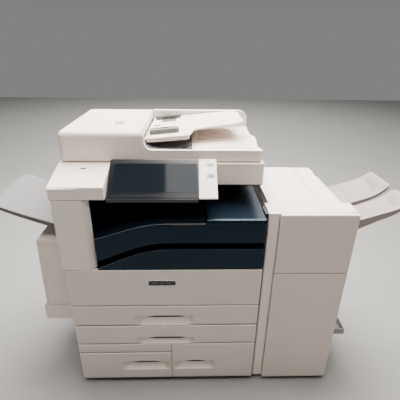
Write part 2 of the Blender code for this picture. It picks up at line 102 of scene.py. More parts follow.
def add_camera():
    yaw, down, roll = CAMERA_YAW, CAMERA_DOWN, CAMERA_ROLL
    ahead = Vector((math.sin(yaw) * math.cos(down), math.cos(yaw) * math.cos(down), -math.sin(down)))
    level = Vector((math.cos(yaw), -math.sin(yaw), 0.0))
    above = level.cross(ahead)
    right = level * math.cos(roll) + above * math.sin(roll)
    up = above * math.cos(roll) - level * math.sin(roll)
    data = bpy.data.cameras.new("camera")
    data.lens = CAMERA_LENS
    data.sensor_width = 36.0
    camera = link(bpy.data.objects.new("camera", data))
    turn = Matrix((right, up, -ahead)).transposed().to_4x4()
    camera.matrix_world = Matrix.Translation(CAMERA_PLACE) @ turn
    SCENE.camera = camera


def add_light(name, place, target, size, power, colour):
    data = bpy.data.lights.new(name, "AREA")
    data.shape = "RECTANGLE"
    data.size, data.size_y = size
    data.energy = power
    data.color = colour
    light = link(bpy.data.objects.new(name, data))
    light.location = place
    light.rotation_euler = (Vector(target) - Vector(place)).to_track_quat("-Z", "Y").to_euler()


def add_studio():
    for row in LIGHTS:
        add_light(*row)
    world = bpy.data.worlds.new("studio")
    world.use_nodes = True
    SCENE.world = world
    tree = world.node_tree
    up = node(
        tree, "ShaderNodeSeparateXYZ", {"Vector": node(tree, "ShaderNodeTexCoord").outputs["Generated"]},
    )
    shade = ramp_between(tree, up.outputs["Z"], SKY_LOW, SKY_HIGH, 0.05, 0.45)
    tree.links.new(shade, tree.nodes["Background"].inputs["Color"])
    bpy.ops.mesh.primitive_plane_add(size=14.0, location=(0.0, 1.0, -0.0005))
    floor = bpy.context.object
    floor.name = "floor"
    floor.data.materials.append(moulded("floor_paint", FLOOR_COLOUR, 0.65, grain=0.05, blotch=0.04))


# ---------------------------------------------------------------- materials
def node(tree, kind, inputs=None, **settings):
    """A shader node with its properties set and its inputs given values or linked."""
    made = tree.nodes.new(kind)
    for key, value in settings.items():
        setattr(made, key, value)
    for key, value in (inputs or {}).items():
        if isinstance(value, bpy.types.NodeSocket):
            tree.links.new(value, made.inputs[key])
        else:
            made.inputs[key].default_value = value
    return made


def object_place(tree):
    return node(tree, "ShaderNodeTexCoord").outputs["Object"]


def empty_material(name, roughness, metallic=0.0):
    made = bpy.data.materials.new(f"{name}_finish")
    made.use_nodes = True
    surface = made.node_tree.nodes["Principled BSDF"]
    surface.inputs["Roughness"].default_value = roughness
    surface.inputs["Metallic"].default_value = metallic
    return made, made.node_tree, surface


def scaled(colour, by):
    """An RGBA colour from an RGB one, made lighter or darker by a factor."""
    return (*(min(1.0, channel * by) for channel in colour), 1.0)


def ramp_between(tree, factor, first, second, low=0.3, high=0.7):
    """A colour ramp from first, at low, to second, at high."""
    made = node(tree, "ShaderNodeValToRGB", {"Fac": factor})
    made.color_ramp.elements[0].position = low
    made.color_ramp.elements[1].position = high
    made.color_ramp.elements[0].color = first
    made.color_ramp.elements[1].color = second
    return made.outputs["Color"]


def noise(tree, where, scale, detail=3.0, roughness=0.5):
    inputs = {"Vector": where, "Scale": scale, "Detail": detail, "Roughness": roughness}
    return node(tree, "ShaderNodeTexNoise", inputs).outputs["Fac"]


def vary(tree, surface, factor, middle, swing):
    """Roughness that wanders about its middle value."""
    inputs = {"Value": factor, "To Min": middle - swing, "To Max": middle + swing}
    spread = node(tree, "ShaderNodeMapRange", inputs)
    tree.links.new(spread.outputs["Result"], surface.inputs["Roughness"])


def paint(tree, surface, tint):
    tree.links.new(tint, surface.inputs["Base Color"])


def bump(tree, surface, height, strength, distance):
    inputs = {"Height": height, "Strength": strength, "Distance": distance}
    made = node(tree, "ShaderNodeBump", inputs)
    tree.links.new(made.outputs["Normal"], surface.inputs["Normal"])


def overlay(tree, tint, limits, patches, colour):
    """Lays a colour over the tint, as far as limits allow and in patches."""
    amount = node(tree, "ShaderNodeMapRange", limits).outputs["Result"]
    patchy = node(tree, "ShaderNodeMath", {0: amount, 1: patches}, operation="MULTIPLY").outputs["Value"]
    inputs = {"Factor": patchy, "A": tint, "B": colour}
    return node(tree, "ShaderNodeMix", inputs, data_type="RGBA").outputs["Result"]


DUST_COLOUR = (0.45, 0.43, 0.4, 1.0)


def moulded(name, colour, roughness, grain=0.25, grain_size=0.0009, blotch=0.03, edge=0.0, dust=0.0,
             gloss=0.5, tint_gloss=(1.0, 1.0, 1.0)):
    """Moulded plastic: fine spark-eroded grain, faint colour drift, rubbed edges and settled dust."""
    made, tree, surface = empty_material(name, roughness)
    where = object_place(tree)
    drift = noise(tree, where, 3.5, 4.0)
    tint = ramp_between(tree, drift, scaled(colour, 1 - blotch), scaled(colour, 1 + blotch))
    geometry = node(tree, "ShaderNodeNewGeometry")
    if edge:
        rounded = node(tree, "ShaderNodeBevel", {"Radius": 0.0018}, samples=4)
        inputs = {0: rounded.outputs["Normal"], 1: geometry.outputs["Normal"]}
        facing = node(tree, "ShaderNodeVectorMath", inputs, operation="DOT_PRODUCT").outputs["Value"]
        limits = {"Value": facing, "From Min": 0.99, "From Max": 0.8, "To Max": edge}
        tint = overlay(tree, tint, limits, noise(tree, where, 45.0, 3.0), scaled(colour, 0.62))
    if dust:
        upward = node(tree, "ShaderNodeSeparateXYZ", {"Vector": geometry.outputs["Normal"]}).outputs["Z"]
        limits = {"Value": upward, "From Min": 0.85, "From Max": 1.0, "To Max": dust}
        tint = overlay(tree, tint, limits, noise(tree, where, 16.0, 6.0, 0.7), DUST_COLOUR)
    paint(tree, surface, tint)
    vary(tree, surface, noise(tree, where, 22.0, 5.0), roughness, min(0.06, roughness * 0.3))
    bump(tree, surface, noise(tree, where, 1 / grain_size, 2.0), grain, 0.0002)
    surface.inputs["Specular IOR Level"].default_value = gloss
    surface.inputs["Specular Tint"].default_value = (*tint_gloss, 1.0)
    return made


def glossy(name, colour, roughness, coat, speck=0.02):
    """Smooth dark plastic or a coated part, with faint handling marks in its gloss."""
    made, tree, surface = empty_material(name, roughness)
    where = object_place(tree)
    tint = ramp_between(tree, noise(tree, where, 6.0), scaled(colour, 0.92), scaled(colour, 1.1))
    paint(tree, surface, tint)
    vary(tree, surface, noise(tree, where, 30.0, 6.0, 0.7), roughness + speck, speck)
    surface.inputs["Coat Weight"].default_value = coat
    surface.inputs["Coat Roughness"].default_value = 0.06
    bump(tree, surface, noise(tree, where, 260.0, 1.0), 0.04, 0.0002)
    return made


def metal(name, colour, roughness, streak=60.0):
    """Rolled or turned metal with fine streaks along X and patches of plating."""
    made, tree, surface = empty_material(name, roughness, 1.0)
    where = object_place(tree)
    stretch = node(tree, "ShaderNodeMapping", {"Vector": where, "Scale": (1.0, streak, streak)})
    lines = noise(tree, stretch.outputs["Vector"], 24.0, 4.0)
    tint = ramp_between(tree, noise(tree, where, 18.0, 5.0), scaled(colour, 0.86), scaled(colour, 1.08))
    paint(tree, surface, tint)
    vary(tree, surface, lines, roughness, 0.09)
    bump(tree, surface, lines, 0.1, 0.0001)
    return made


def rubber(name, colour):
    made, tree, surface = empty_material(name, 0.85)
    where = object_place(tree)
    scuff = noise(tree, where, 40.0, 6.0, 0.7)
    tint = ramp_between(tree, scuff, scaled(colour, 0.8), scaled(colour, 1.7), 0.4, 0.8)
    paint(tree, surface, tint)
    vary(tree, surface, scuff, 0.8, 0.1)
    bump(tree, surface, noise(tree, where, 700.0, 3.0), 0.35, 0.0003)
    return made


def paper(name):
    """A pile of paper: bright top sheet, and fine uneven layers down its sides."""
    made, tree, surface = empty_material(name, 0.75)
    where = object_place(tree)
    flat = node(tree, "ShaderNodeMapping", {"Vector": where, "Scale": (4.0, 4.0, 2600.0)})
    layers = noise(tree, flat.outputs["Vector"], 1.0, 3.0)
    tint = ramp_between(tree, layers, (0.74, 0.73, 0.71, 1.0), (0.9, 0.89, 0.87, 1.0))
    paint(tree, surface, tint)
    bump(tree, surface, layers, 0.3, 0.0003)
    return made


def float_glass(name):
    made, tree, surface = empty_material(name, 0.02)
    where = object_place(tree)
    smear = noise(tree, where, 9.0, 6.0, 0.7)
    tint = ramp_between(tree, smear, (0.83, 0.93, 0.9, 1.0), (0.9, 0.97, 0.95, 1.0))
    paint(tree, surface, tint)
    vary(tree, surface, smear, 0.035, 0.02)
    surface.inputs["Transmission Weight"].default_value = 0.92
    surface.inputs["IOR"].default_value = 1.45
    return made


# Each look: its maker, and what the maker takes after the name.
LOOKS = {
    "shell": (moulded, (0.81, 0.722, 0.655), 0.46, dict(blotch=0.012, edge=0.35, dust=0.1)),
    "dark_plastic": (moulded, (0.0026, 0.0066, 0.013), 0.3,
                     dict(grain=0.14, blotch=0.08, dust=0.01, gloss=0.26, tint_gloss=(0.5, 0.78, 1.0))),
    "tray_plastic": (moulded, (0.3, 0.295, 0.295), 0.5, dict(blotch=0.02, dust=0.12)),
    "guide_plastic": (moulded, (0.1, 0.095, 0.088), 0.5, dict(blotch=0.03)),
    "steel": (metal, (0.6, 0.61, 0.62), 0.34, {}),
    "glass": (float_glass, {}),
    "screen": (glossy, (0.005, 0.0078, 0.0112), 0.05, 0.0, dict(speck=0.012)),
    "rubber": (rubber, (0.022, 0.022, 0.022), {}),
    "drum": (glossy, (0.03, 0.2, 0.15), 0.12, 0.6, {}),
    "black_plastic": (moulded, (0.012, 0.012, 0.013), 0.55, dict(blotch=0.1, dust=0.03)),
    # The next look is a darker copy of the shell for the front faces: painted shade, as the fronts face away
    # from the overhead light.
    "shell_front": (moulded, (0.69, 0.608, 0.552), 0.48, dict(blotch=0.012, dust=0.05)),
    # The next look is a lighter copy of the shell for edge beads and the feeder lip: a painted highlight.
    "shell_light": (moulded, (0.88, 0.8, 0.73), 0.42, dict(blotch=0.01)),
    "stacker_plastic": (moulded, (0.262, 0.222, 0.212), 0.52, dict(blotch=0.03, dust=0.12)),
    # The next look is a darker grey for the left output tray, set for how little light reaches it: painted
    # shade.
    "side_tray_plastic": (moulded, (0.108, 0.106, 0.108), 0.5, dict(blotch=0.03, dust=0.12)),
    # The next look is a lighter, glossier trim for thin wires along dark edges: a painted highlight line.
    "edge_trim": (moulded, (0.1, 0.125, 0.15), 0.28, dict(grain=0.05)),
    "guide_dark": (moulded, (0.045, 0.042, 0.04), 0.55, dict(blotch=0.05)),
    # The next look is dark slate for the output throat: partly its own dark plastic, partly painted shade
    # under the input tray.
    "slate": (moulded, (0.075, 0.08, 0.088), 0.5, dict(blotch=0.06)),
    "bezel": (glossy, (0.0016, 0.0028, 0.0048), 0.14, 0.0, {}),
    "chrome": (metal, (0.72, 0.72, 0.72), 0.14, dict(streak=20.0)),
    "foam_white": (moulded, (0.86, 0.86, 0.84), 0.8, dict(grain=0.5, grain_size=0.002)),
    "paper": (paper, {}),
    "lever_green": (moulded, (0.05, 0.3, 0.16), 0.45, {}),
    "printed_grey": (moulded, (0.3, 0.3, 0.3), 0.55, dict(grain=0.05)),
}
# The material made for each look, once it is first asked for.
made_looks = {}


def material(look):
    if look not in made_looks:
        maker, *values, settings = LOOKS[look]
        made_looks[look] = maker(look, *values, **settings)
    return made_looks[look]


# ---------------------------------------------------------------- mesh building
def to_mesh(shape):
    """The shape as a mesh with its faces outward; the shape is freed."""
    mesh = bpy.data.meshes.new("form")
    bmesh.ops.recalc_face_normals(shape, faces=shape.faces)
    shape.to_mesh(mesh)
    shape.free()
    return mesh


def round_edges(shape, radius, segments=3, limit=25.0, pick=None):
    """Rounds the edges that turn by more than limit degrees, or only those that pick accepts."""
    shape.normal_update()
    turn = math.radians(limit)
    chosen = [
        edge for edge in shape.edges
        if len(edge.link_faces) == 2 and edge.calc_face_angle(0.0) > turn and (pick is None or pick(edge))
    ]
    if radius > 0 and chosen:
        bmesh.ops.bevel(
            shape, geom=chosen, offset=radius, offset_type="OFFSET", segments=segments,
            profile=0.5, affect="EDGES", clamp_overlap=True,
        )


AXIS_ORDER = {
    "X": lambda u, v, w: (w, u, v),
    "Y": lambda u, v, w: (u, w, v),
    "Z": lambda u, v, w: (u, v, w),
}


def join_rings(shape, first, second):
    """Faces between two rings of corners with the same count."""
    for here in range(len(first)):
        there = (here + 1) % len(first)
        shape.faces.new((first[here], first[there], second[there], second[here]))


def prism_shape(outline, axis, span):
    """An outline drawn out along an axis, over a span, with sharp edges."""
    place = AXIS_ORDER[axis]
    shape = bmesh.new()
    ends = [[shape.verts.new(place(u, v, w)) for u, v in outline] for w in span]
    for end in ends:
        shape.faces.new(end)
    join_rings(shape, *ends)
    bmesh.ops.recalc_face_normals(shape, faces=shape.faces)
    return shape


def prism(outline, axis, span, radius=0.001, segments=3, limit=25.0, pick=None):
    """An outline pushed along an axis: (y, z) for X, (x, z) for Y and (x, y) for Z."""
    shape = prism_shape(outline, axis, span)
    round_edges(shape, radius, segments, limit, pick)
    return to_mesh(shape)


def rectangle(u, v):
    return [(u[0], v[0]), (u[1], v[0]), (u[1], v[1]), (u[0], v[1])]


def block(x, y, z, radius=0.001, segments=3):
    return prism(rectangle(x, y), "Z", z, radius, segments)


def soften(outline, radius, steps=6):
    """A closed outline with its corners rounded. radius is one value, or one for each corner."""
    count = len(outline)
    radii = radius if isinstance(radius, (list, tuple)) else [radius] * count
    points = []
    for here in range(count):
        corner = Vector(outline[here])
        back = Vector(outline[here - 1]) - corner
        on = Vector(outline[(here + 1) % count]) - corner
        if radii[here] <= 0:
            points.append(tuple(corner))
            continue
        half = back.angle(on) / 2
        reach = min(radii[here] / math.tan(half), back.length * 0.49, on.length * 0.49)
        start, end = corner + back.normalized() * reach, corner + on.normalized() * reach
        for step in range(steps + 1):
            t = step / steps
            points.append(tuple(start * (1 - t) ** 2 + corner * 2 * t * (1 - t) + end * t * t))
    return points


def slot_tool(u, v, radius, axis, span):
    """A cutter for a slot with rounded corners."""
    return prism(soften(rectangle(u, v), radius), axis, span, 0)


def into_low(span, depth):
    """From just outside a span's low end to a depth inside it."""
    return (span[0] - 0.001, span[0] + depth)


def into_high(span, depth):
    """From a depth inside a span's high end to just outside it."""
    return (span[1] - depth, span[1] + 0.001)


def right_through(span):
    return (span[0] - 0.001, span[1] + 0.001)


def within(span, low, high=None):
    """The span without a margin at each end."""
    return (span[0] + low, span[1] - (low if high is None else high))


def steps_between(low, high, count):
    """Evenly spread values from low to high, both among them."""
    return [low + (high - low) * step / (count - 1) for step in range(count)]


def arc(centre, radius, start, end, steps):
    """Points on a circle from start to end, in degrees."""
    turns = [math.radians(start + (end - start) * step / steps) for step in range(steps + 1)]
    return [(centre[0] + radius * math.cos(turn), centre[1] + radius * math.sin(turn)) for turn in turns]


def quarter(steps):
    """Angles from 0 to a quarter turn."""
    return [math.radians(90 * step / steps) for step in range(steps + 1)]


def turned(profile, centre, axis="Z", steps=40):
    """A profile of (radius, distance along the axis) turned about a line through centre."""
    place = AXIS_ORDER[axis]
    shape = bmesh.new()
    rings = []
    for radius, along in profile:
        angles = [2 * math.pi * step / steps for step in range(steps)]
        ring = [
            shape.verts.new(place(centre[0] + radius * math.cos(a), centre[1] + radius * math.sin(a), along))
            for a in angles
        ]
        rings.append(ring)
    for first, second in zip(rings, rings[1:]):
        join_rings(shape, first, second)
    for end in (rings[0], rings[-1]):
        shape.faces.new(end)
    bmesh.ops.remove_doubles(shape, verts=shape.verts, dist=1e-6)
    return to_mesh(shape)


def rod(centre, radius, span, axis="Y", edge=0.0006, steps=32):
    """A round bar with softened ends."""
    low, high = span
    profile = [(radius - edge, low), (radius, low + edge), (radius, high - edge), (radius - edge, high)]
    return turned(profile, centre, axis, steps)


def baked(made):
    """The mesh of an object after its modifiers. The object goes."""
    bpy.context.view_layer.update()
    mesh = bpy.data.meshes.new_from_object(made.evaluated_get(bpy.context.evaluated_depsgraph_get()))
    bpy.data.objects.remove(made, do_unlink=True)
    return mesh


def wire(points, radius, sides=3):
    """A bent round wire through the points."""
    curve = bpy.data.curves.new("wire", "CURVE")
    curve.dimensions = "3D"
    curve.bevel_depth = radius
    curve.bevel_resolution = sides
    curve.use_fill_caps = True
    spline = curve.splines.new("POLY")
    spline.points.add(len(points) - 1)
    for point, place in zip(spline.points, points):
        point.co = (*place, 1.0)
    return baked(link(bpy.data.objects.new("wire", curve)))


def between(top, under):
    """A closed solid between two grids of points with the same rows and columns."""
    shape = bmesh.new()
    grids = [[[shape.verts.new(point) for point in row] for row in rows] for rows in (top, under)]
    rows, columns = len(top), len(top[0])
    for grid in grids:
        for i in range(rows - 1):
            for j in range(columns - 1):
                shape.faces.new((grid[i][j], grid[i + 1][j], grid[i + 1][j + 1], grid[i][j + 1]))
    rim = [(i, 0) for i in range(rows)] + [(rows - 1, j) for j in range(1, columns)]
    rim += [(i, columns - 1) for i in range(rows - 2, -1, -1)] + [(0, j) for j in range(columns - 2, 0, -1)]
    for (i, j), (k, m) in zip(rim, rim[1:] + rim[:1]):
        shape.faces.new((grids[0][i][j], grids[0][k][m], grids[1][k][m], grids[1][i][j]))
    return to_mesh(shape)


def loft(rings):
    """A closed solid through rings of points, all with the same count."""
    shape = bmesh.new()
    loops = [[shape.verts.new(point) for point in ring] for ring in rings]
    for first, second in zip(loops, loops[1:]):
        join_rings(shape, first, second)
    shape.faces.new(loops[0])
    shape.faces.new(loops[-1])
    bmesh.ops.remove_doubles(shape, verts=shape.verts, dist=1e-6)
    return to_mesh(shape)


def soft_box(x, y, z, corners, top=(0.003,) * 4, bottom=(0.0,) * 4, steps=7):
    """A box with rounded corners in plan, and its top and bottom edges rounded side by side.

    corners go round from the low x, low y corner; top and bottom are radii at the left, front,
    right and rear.
    """
    rings = []
    for radii, at, way in ((bottom, z[0], 1), (top, z[1], -1)):
        reach = max(radii)
        turns = quarter(steps) if reach > 0 else [0.0]
        rows = []
        for turn in turns:
            inset = [radius * (1 - math.cos(turn)) for radius in radii]
            plan = rectangle((x[0] + inset[0], x[1] - inset[2]), (y[0] + inset[1], y[1] - inset[3]))
            rounds = [max(0.0006, corner - max(inset)) for corner in corners]
            height = at + way * reach * (1 - math.sin(turn))
            rows.append([(u, v, height) for u, v in soften(plan, rounds, 8)])
        rings += rows if way < 0 else rows[::-1]
    return loft(rings)


def inset(outline, by):
    """An outline moved inwards by a distance, corner for corner."""
    count = len(outline)
    turn = sum(
        outline[i][0] * outline[(i + 1) % count][1] - outline[(i + 1) % count][0] * outline[i][1]
        for i in range(count)
    )
    side = 1 if turn > 0 else -1
    points = []
    for here in range(count):
        corner = Vector(outline[here])
        first = (corner - Vector(outline[here - 1])).normalized()
        second = (Vector(outline[(here + 1) % count]) - corner).normalized()
        normals = [Vector((-way.y, way.x)) * side for way in (first, second)]
        middle = normals[0] + normals[1]
        points.append(tuple(corner + middle * (by * 2 / middle.length_squared)))
    return points


def soft_plate(outline, corners, z, edge, steps=5, axis="Z"):
    """An outline with rounded corners pushed along an axis, and both its rims rounded."""
    place = AXIS_ORDER[axis]
    rings = []
    for way, at in ((1, z[0]), (-1, z[1])):
        rows = []
        for turn in quarter(steps):
            by = edge * (1 - math.cos(turn))
            rounds = [max(0.0004, corner - by) for corner in corners]
            height = at + way * edge * (1 - math.sin(turn))
            rows.append([place(u, v, height) for u, v in soften(inset(outline, by), rounds, 8)])
        rings += rows if way < 0 else rows[::-1]
    return loft(rings)


def joined(meshes):
    """One mesh made of several."""
    shape = bmesh.new()
    for mesh in meshes:
        shape.from_mesh(mesh)
    return to_mesh(shape)


def evaluated(mesh, modifiers):
    """The mesh after modifiers, each given as (kind, settings)."""
    made = link(bpy.data.objects.new("working", mesh))
    for kind, settings in modifiers:
        modifier = made.modifiers.new(kind, kind)
        for key, value in settings.items():
            setattr(modifier, key, value)
    return baked(made)


def cut(mesh, others, operation="DIFFERENCE"):
    """The mesh with the others taken away, or joined or met, in turn."""
    tools = [link(bpy.data.objects.new("tool", other)) for other in others]
    steps = [("BOOLEAN", {"object": tool, "operation": operation, "solver": "EXACT"}) for tool in tools]
    result = evaluated(mesh, steps)
    for tool in tools:
        bpy.data.objects.remove(tool, do_unlink=True)
    return result


def bevelled(mesh, radius, segments=2, limit=30.0):
    shape = bmesh.new()
    shape.from_mesh(mesh)
    bmesh.ops.dissolve_limit(shape, angle_limit=math.radians(0.5), verts=shape.verts, edges=shape.edges)
    round_edges(shape, radius, segments, limit)
    return to_mesh(shape)


def cad_mesh(name):
    """A CAD node's own mesh in design axes, with its flat faces whole again."""
    shape = bmesh.new()
    shape.from_mesh(frame["nodes"][name].data)
    bmesh.ops.translate(shape, vec=-ORIGIN, verts=shape.verts)
    bmesh.ops.remove_doubles(shape, verts=shape.verts, dist=1e-5)
    bmesh.ops.dissolve_limit(shape, angle_limit=math.radians(1.0), verts=shape.verts, edges=shape.edges)
    return to_mesh(shape)


# ---------------------------------------------------------------- pieces
def span(name):
    """A CAD node's extent on each axis, in design axes."""
    low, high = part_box(name)
    return tuple(zip(low - ORIGIN, high - ORIGIN))


def middle_of(u, v):
    """The middle of two spans."""
    return (sum(u) / 2, sum(v) / 2)


def piece(name, mesh, look, on):
    """Adds a visible piece, of one mesh or a list of them, that moves with the CAD node it is on."""
    if isinstance(mesh, list):
        mesh = joined(mesh)
    made = link(bpy.data.objects.new(name, mesh))
    made.location = ORIGIN
    mesh.name = name
    mesh.materials.clear()
    mesh.materials.append(material(look))
    for face in mesh.polygons:
        face.material_index = 0
    mesh.shade_smooth()
    mesh.set_sharp_from_angle(angle=SHARP)
    normals = made.modifiers.new("Normals", "WEIGHTED_NORMAL")
    normals.keep_sharp = True
    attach(made, BODY_OF[on])
    return made


def form(name, mesh, look=None):
    """The visible form of a CAD node."""
    made = piece(f"{name}_form", mesh, look or SLOT_OF[name], name)
    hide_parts(name)
    return made


def screws(name, places, axis, face, on, radius=0.0035):
    """Pan-head screws with a cross slot. Places are across the axis, and face is where they sit."""
    sign = -1 if face < 0 else 1
    face = abs(face)
    heads = []
    for u, v in places:
        tip = face + sign * 0.0016
        profile = [
            (radius, face), (radius, face + sign * 0.0006), (radius * 0.7, tip - sign * 0.0002),
            (0.0002, tip),
        ]
        head = turned(profile, (u, v), axis, 20)
        slots = []
        for wide, tall in ((0.0004, 0.0022), (0.0022, 0.0004)):
            deep = sorted((face + sign * 0.0008, face + sign * 0.003))
            slots.append(prism(rectangle((u - wide, u + wide), (v - tall, v + tall)), axis, deep, 0))
        heads.append(cut(head, slots))
    return piece(name, heads, "steel", on)


# ---------------------------------------------------------------- frame, feet and covers
def make_frame():
    form("base_plate", bevelled(cad_mesh("base_plate"), 0.0015))
    form("mid_shelf", bevelled(cad_mesh("mid_shelf"), 0.0012))
    for name in [n for n in frame["nodes"] if "foot" in n]:
        x, y, z = span(name)
        centre = middle_of(x, y)
        pad = (x[1] - x[0]) / 2
        profile = [
            (pad * 0.9, 0.0), (pad, 0.0012), (pad * 0.99, 0.004), (pad * 0.82, 0.009), (pad * 0.45, 0.0115),
            (pad * 0.42, 0.016), (pad * 0.34, 0.0165), (pad * 0.34, z[1] - 0.0005), (pad * 0.3, z[1]),
        ]
        form(name, turned(profile, centre, "Z", 48))
        nut = [(centre[0] + u, centre[1] + v) for u, v in arc((0, 0), pad * 0.55, 0, 300, 5)]
        piece(f"{name}_lock_nut", prism(nut, "Z", (0.0175, 0.0225), 0.0005), "steel", name)
    for name, centre in {"front_left": (0.13, 0.11), "front_right": (0.6, 0.11),
                         "rear_left": (0.13, 0.52), "rear_right": (0.6, 0.52)}.items():
        make_castor(f"castor_{name}", centre)


def make_castor(name, centre):
    """A twin-wheel castor under the base plate."""
    x, y = centre
    wheels = []
    for side in (-1, 1):
        middle = y + side * 0.0135
        profile = [
            (0.004, middle - 0.008), (0.016, middle - 0.008), (0.0195, middle - 0.006),
            (0.0205, middle - 0.003), (0.0205, middle + 0.003), (0.0195, middle + 0.006),
            (0.016, middle + 0.008), (0.004, middle + 0.008),
        ]
        wheels.append(turned(profile, (x, 0.0207), "Y", 32))
    piece(f"{name}_wheels", wheels, "black_plastic", "base_plate")
    hood = [(x - 0.02, 0.026), *arc((x, 0.026), 0.0205, 180, 0, 10)]
    body = prism(hood, "Y", (y - 0.005, y + 0.005), 0.001)
    stem = rod((x, y), 0.005, (0.04, 0.0478), "Z")
    piece(f"{name}_hood", [body, stem], "black_plastic", "base_plate")
    piece(f"{name}_axle", rod((x, 0.0207), 0.003, (y - 0.0225, y + 0.0225)), "steel", "base_plate")


def louvres(x, y, z, count, axis, gap=0.0035):
    """Cutters for a block of level vent slots. One of x and y is the wall's thickness."""
    pitch = (z[1] - z[0]) / count
    wide, through = (y, x) if axis == "X" else (x, y)
    lows = [z[0] + row * pitch for row in range(count)]
    return [slot_tool(wide, (low, low + gap), 0.0016, axis, through) for low in lows]


def make_side_covers():
    x, y, z = span("left_side_cover")
    outline = [(0.022, 0.03), (y[1], 0.03), (y[1], z[1]), (0.1325, z[1]), (0.1325, 0.6), (0.022, 0.6)]
    cover = prism(soften(outline, [0.004, 0.01, 0.01, 0.003, 0.003, 0.006]), "X", x, 0.0025)
    out = into_low(x, 0.0012)
    through = right_through(x)
    slot = slot_tool((0.135, 0.425), (0.722, 0.748), 0.003, "X", through)
    lines = (((0.0, 0.65), (0.6045, 0.606)), ((0.56, 0.5615), (0.02, 0.89)), ((0.0, 0.561), (0.2405, 0.242)))
    seams = [prism(rectangle(*line), "X", out, 0) for line in lines]
    grip = slot_tool((0.23, 0.36), (0.15, 0.185), 0.01, "X", into_low(x, 0.006))
    vents = louvres(through, (0.574, 0.608), (0.1, 0.3), 24, "X")
    form("left_side_cover", cut(cover, [slot, grip, *seams, *vents]))

    x, y, z = span("right_side_cover")
    cover = prism(soften(rectangle(y, z), 0.006), "X", x, 0.002)
    through = right_through(x)
    vents = louvres(through, (0.45, 0.58), (0.36, 0.52), 18, "X")
    seam = prism(rectangle((0.0, 0.65), (0.2405, 0.242)), "X", into_high(x, 0.0012), 0)
    form("right_side_cover", cut(cover, [seam, *vents]))

    for side, inside in {"left": (0.0112, 0.0127), "right": (0.7273, 0.7288)}.items():
        plate = block(inside, (0.034, 0.6), (0.0605, 0.418), 0.0004)
        wide = right_through(inside)
        holes = [
            slot_tool((at, at + 0.05), (low, low + 0.03), 0.008, "X", wide)
            for at in (0.1, 0.25, 0.4, 0.52) for low in (0.09, 0.19, 0.285, 0.36)
        ]
        piece(f"inner_frame_{side}", cut(plate, holes), "steel", "base_plate")
    piece(
        "inner_frame_rear", block((0.014, 0.726), (0.604, 0.6055), (0.0605, 0.418), 0.0004), "steel",
        "base_plate",
    )
    piece(
        "tray_divider", block((0.3908, 0.3922), (0.03, 0.585), (0.059, 0.2265), 0.0004), "steel",
        "base_plate",
    )


def make_rear():
    x, y, z = span("rear_cover")
    cover = prism(soften(rectangle(x, z), 0.01), "Y", y, 0.0025)
    through = right_through(y)
    shallow = into_high(y, 0.0012)
    socket = slot_tool((0.0595, 0.1105), (0.1095, 0.1505), 0.002, "Y", through)
    seams = [prism(rectangle((-0.01, 0.75), (at, at + 0.0016)), "Y", shallow, 0) for at in (0.3, 0.66)]
    seams.append(prism(rectangle((0.25, 0.2516), (0.3, 0.66)), "Y", shallow, 0))
    blocks = (
        ((0.44, 0.68), (0.72, 0.86), 14), ((0.3, 0.42), (0.1, 0.22), 12), ((0.54, 0.68), (0.1, 0.22), 12),
    )
    vents = [tool for wide, tall, count in blocks for tool in louvres(wide, through, tall, count, "Y")]
    ports = slot_tool((0.06, 0.2), (0.38, 0.6), 0.004, "Y", through)
    form("rear_cover", cut(cover, [socket, ports, *seams, *vents]))
    screws(
        "rear_screws",
        [(u, v) for u in (0.02, 0.37, 0.72) for v in (0.085, 0.285, 0.32, 0.64, 0.68, 0.94)],
        "Y", y[1] - 0.0003, "rear_cover",
    )
    make_ports(y)
    make_inlet()
    piece(
        "rating_plate", prism(soften(rectangle((0.13, 0.215), (0.112, 0.15)), 0.003), "Y",
                              (y[1] - 0.0002, y[1] + 0.0004), 0.0001), "printed_grey", "rear_cover",
    )


def make_ports(y):
    """The connector plate let into the rear cover, with its sockets."""
    plate = block((0.0605, 0.1995), (y[0], y[0] + 0.003), (0.3805, 0.5995), 0.0006)
    sockets = {
        "network": (0.085, 0.101, 0.555, 0.568), "usb_device": (0.085, 0.097, 0.525, 0.536),
        "usb_upper": (0.085, 0.099, 0.5, 0.506), "usb_lower": (0.085, 0.099, 0.485, 0.491),
        "finisher_link": (0.085, 0.14, 0.43, 0.444), "service": (0.15, 0.175, 0.545, 0.557),
    }
    holes = []
    for name, (left, right, low, high) in sockets.items():
        area = rectangle((left, right), (low, high))
        holes.append(prism(soften(area, 0.001), "Y", into_low(y, 0.004), 0))
        grow = rectangle((left - 0.0015, right + 0.0015), (low - 0.0015, high + 0.0015))
        rim = cut(
            prism(soften(grow, 0.002), "Y", (y[0] + 0.0031, y[0] + 0.0046), 0.0003),
            [prism(soften(area, 0.001), "Y", (y[0], y[0] + 0.006), 0)],
        )
        piece(f"port_rim_{name}", rim, "chrome", "rear_cover")
        well = block(
            (left - 0.001, right + 0.001), (y[0] - 0.012, y[0] - 0.0005), (low - 0.001, high + 0.001), 0.0005,
        )
        piece(f"port_well_{name}", well, "black_plastic", "rear_cover")
    piece("port_plate", cut(plate, holes), "steel", "rear_cover")
    screws(
        "port_screws", [(0.068, 0.592), (0.192, 0.592), (0.068, 0.388), (0.192, 0.388)], "Y", y[0] + 0.0031,
        "rear_cover", 0.0025,
    )


def make_inlet():
    x, y, z = span("power_inlet")
    body = block(x, y, z, 0.0015)
    mouth = soften(rectangle(within(x, 0.008), within(z, 0.008)), [0.002, 0.002, 0.008, 0.008])
    form("power_inlet", cut(body, [prism(mouth, "Y", (0.614, y[1] + 0.001), 0)]), "black_plastic")
    middle = (x[0] + x[1]) / 2
    pins = [
        block(
            (middle + u - 0.001, middle + u + 0.001), (0.613, 0.63), (0.13 + v - 0.002, 0.13 + v + 0.002),
            0.0006,
        )
        for u, v in ((-0.007, -0.003), (0.0, 0.004), (0.007, -0.003))
    ]
    piece("inlet_pins", pins, "steel", "power_inlet")


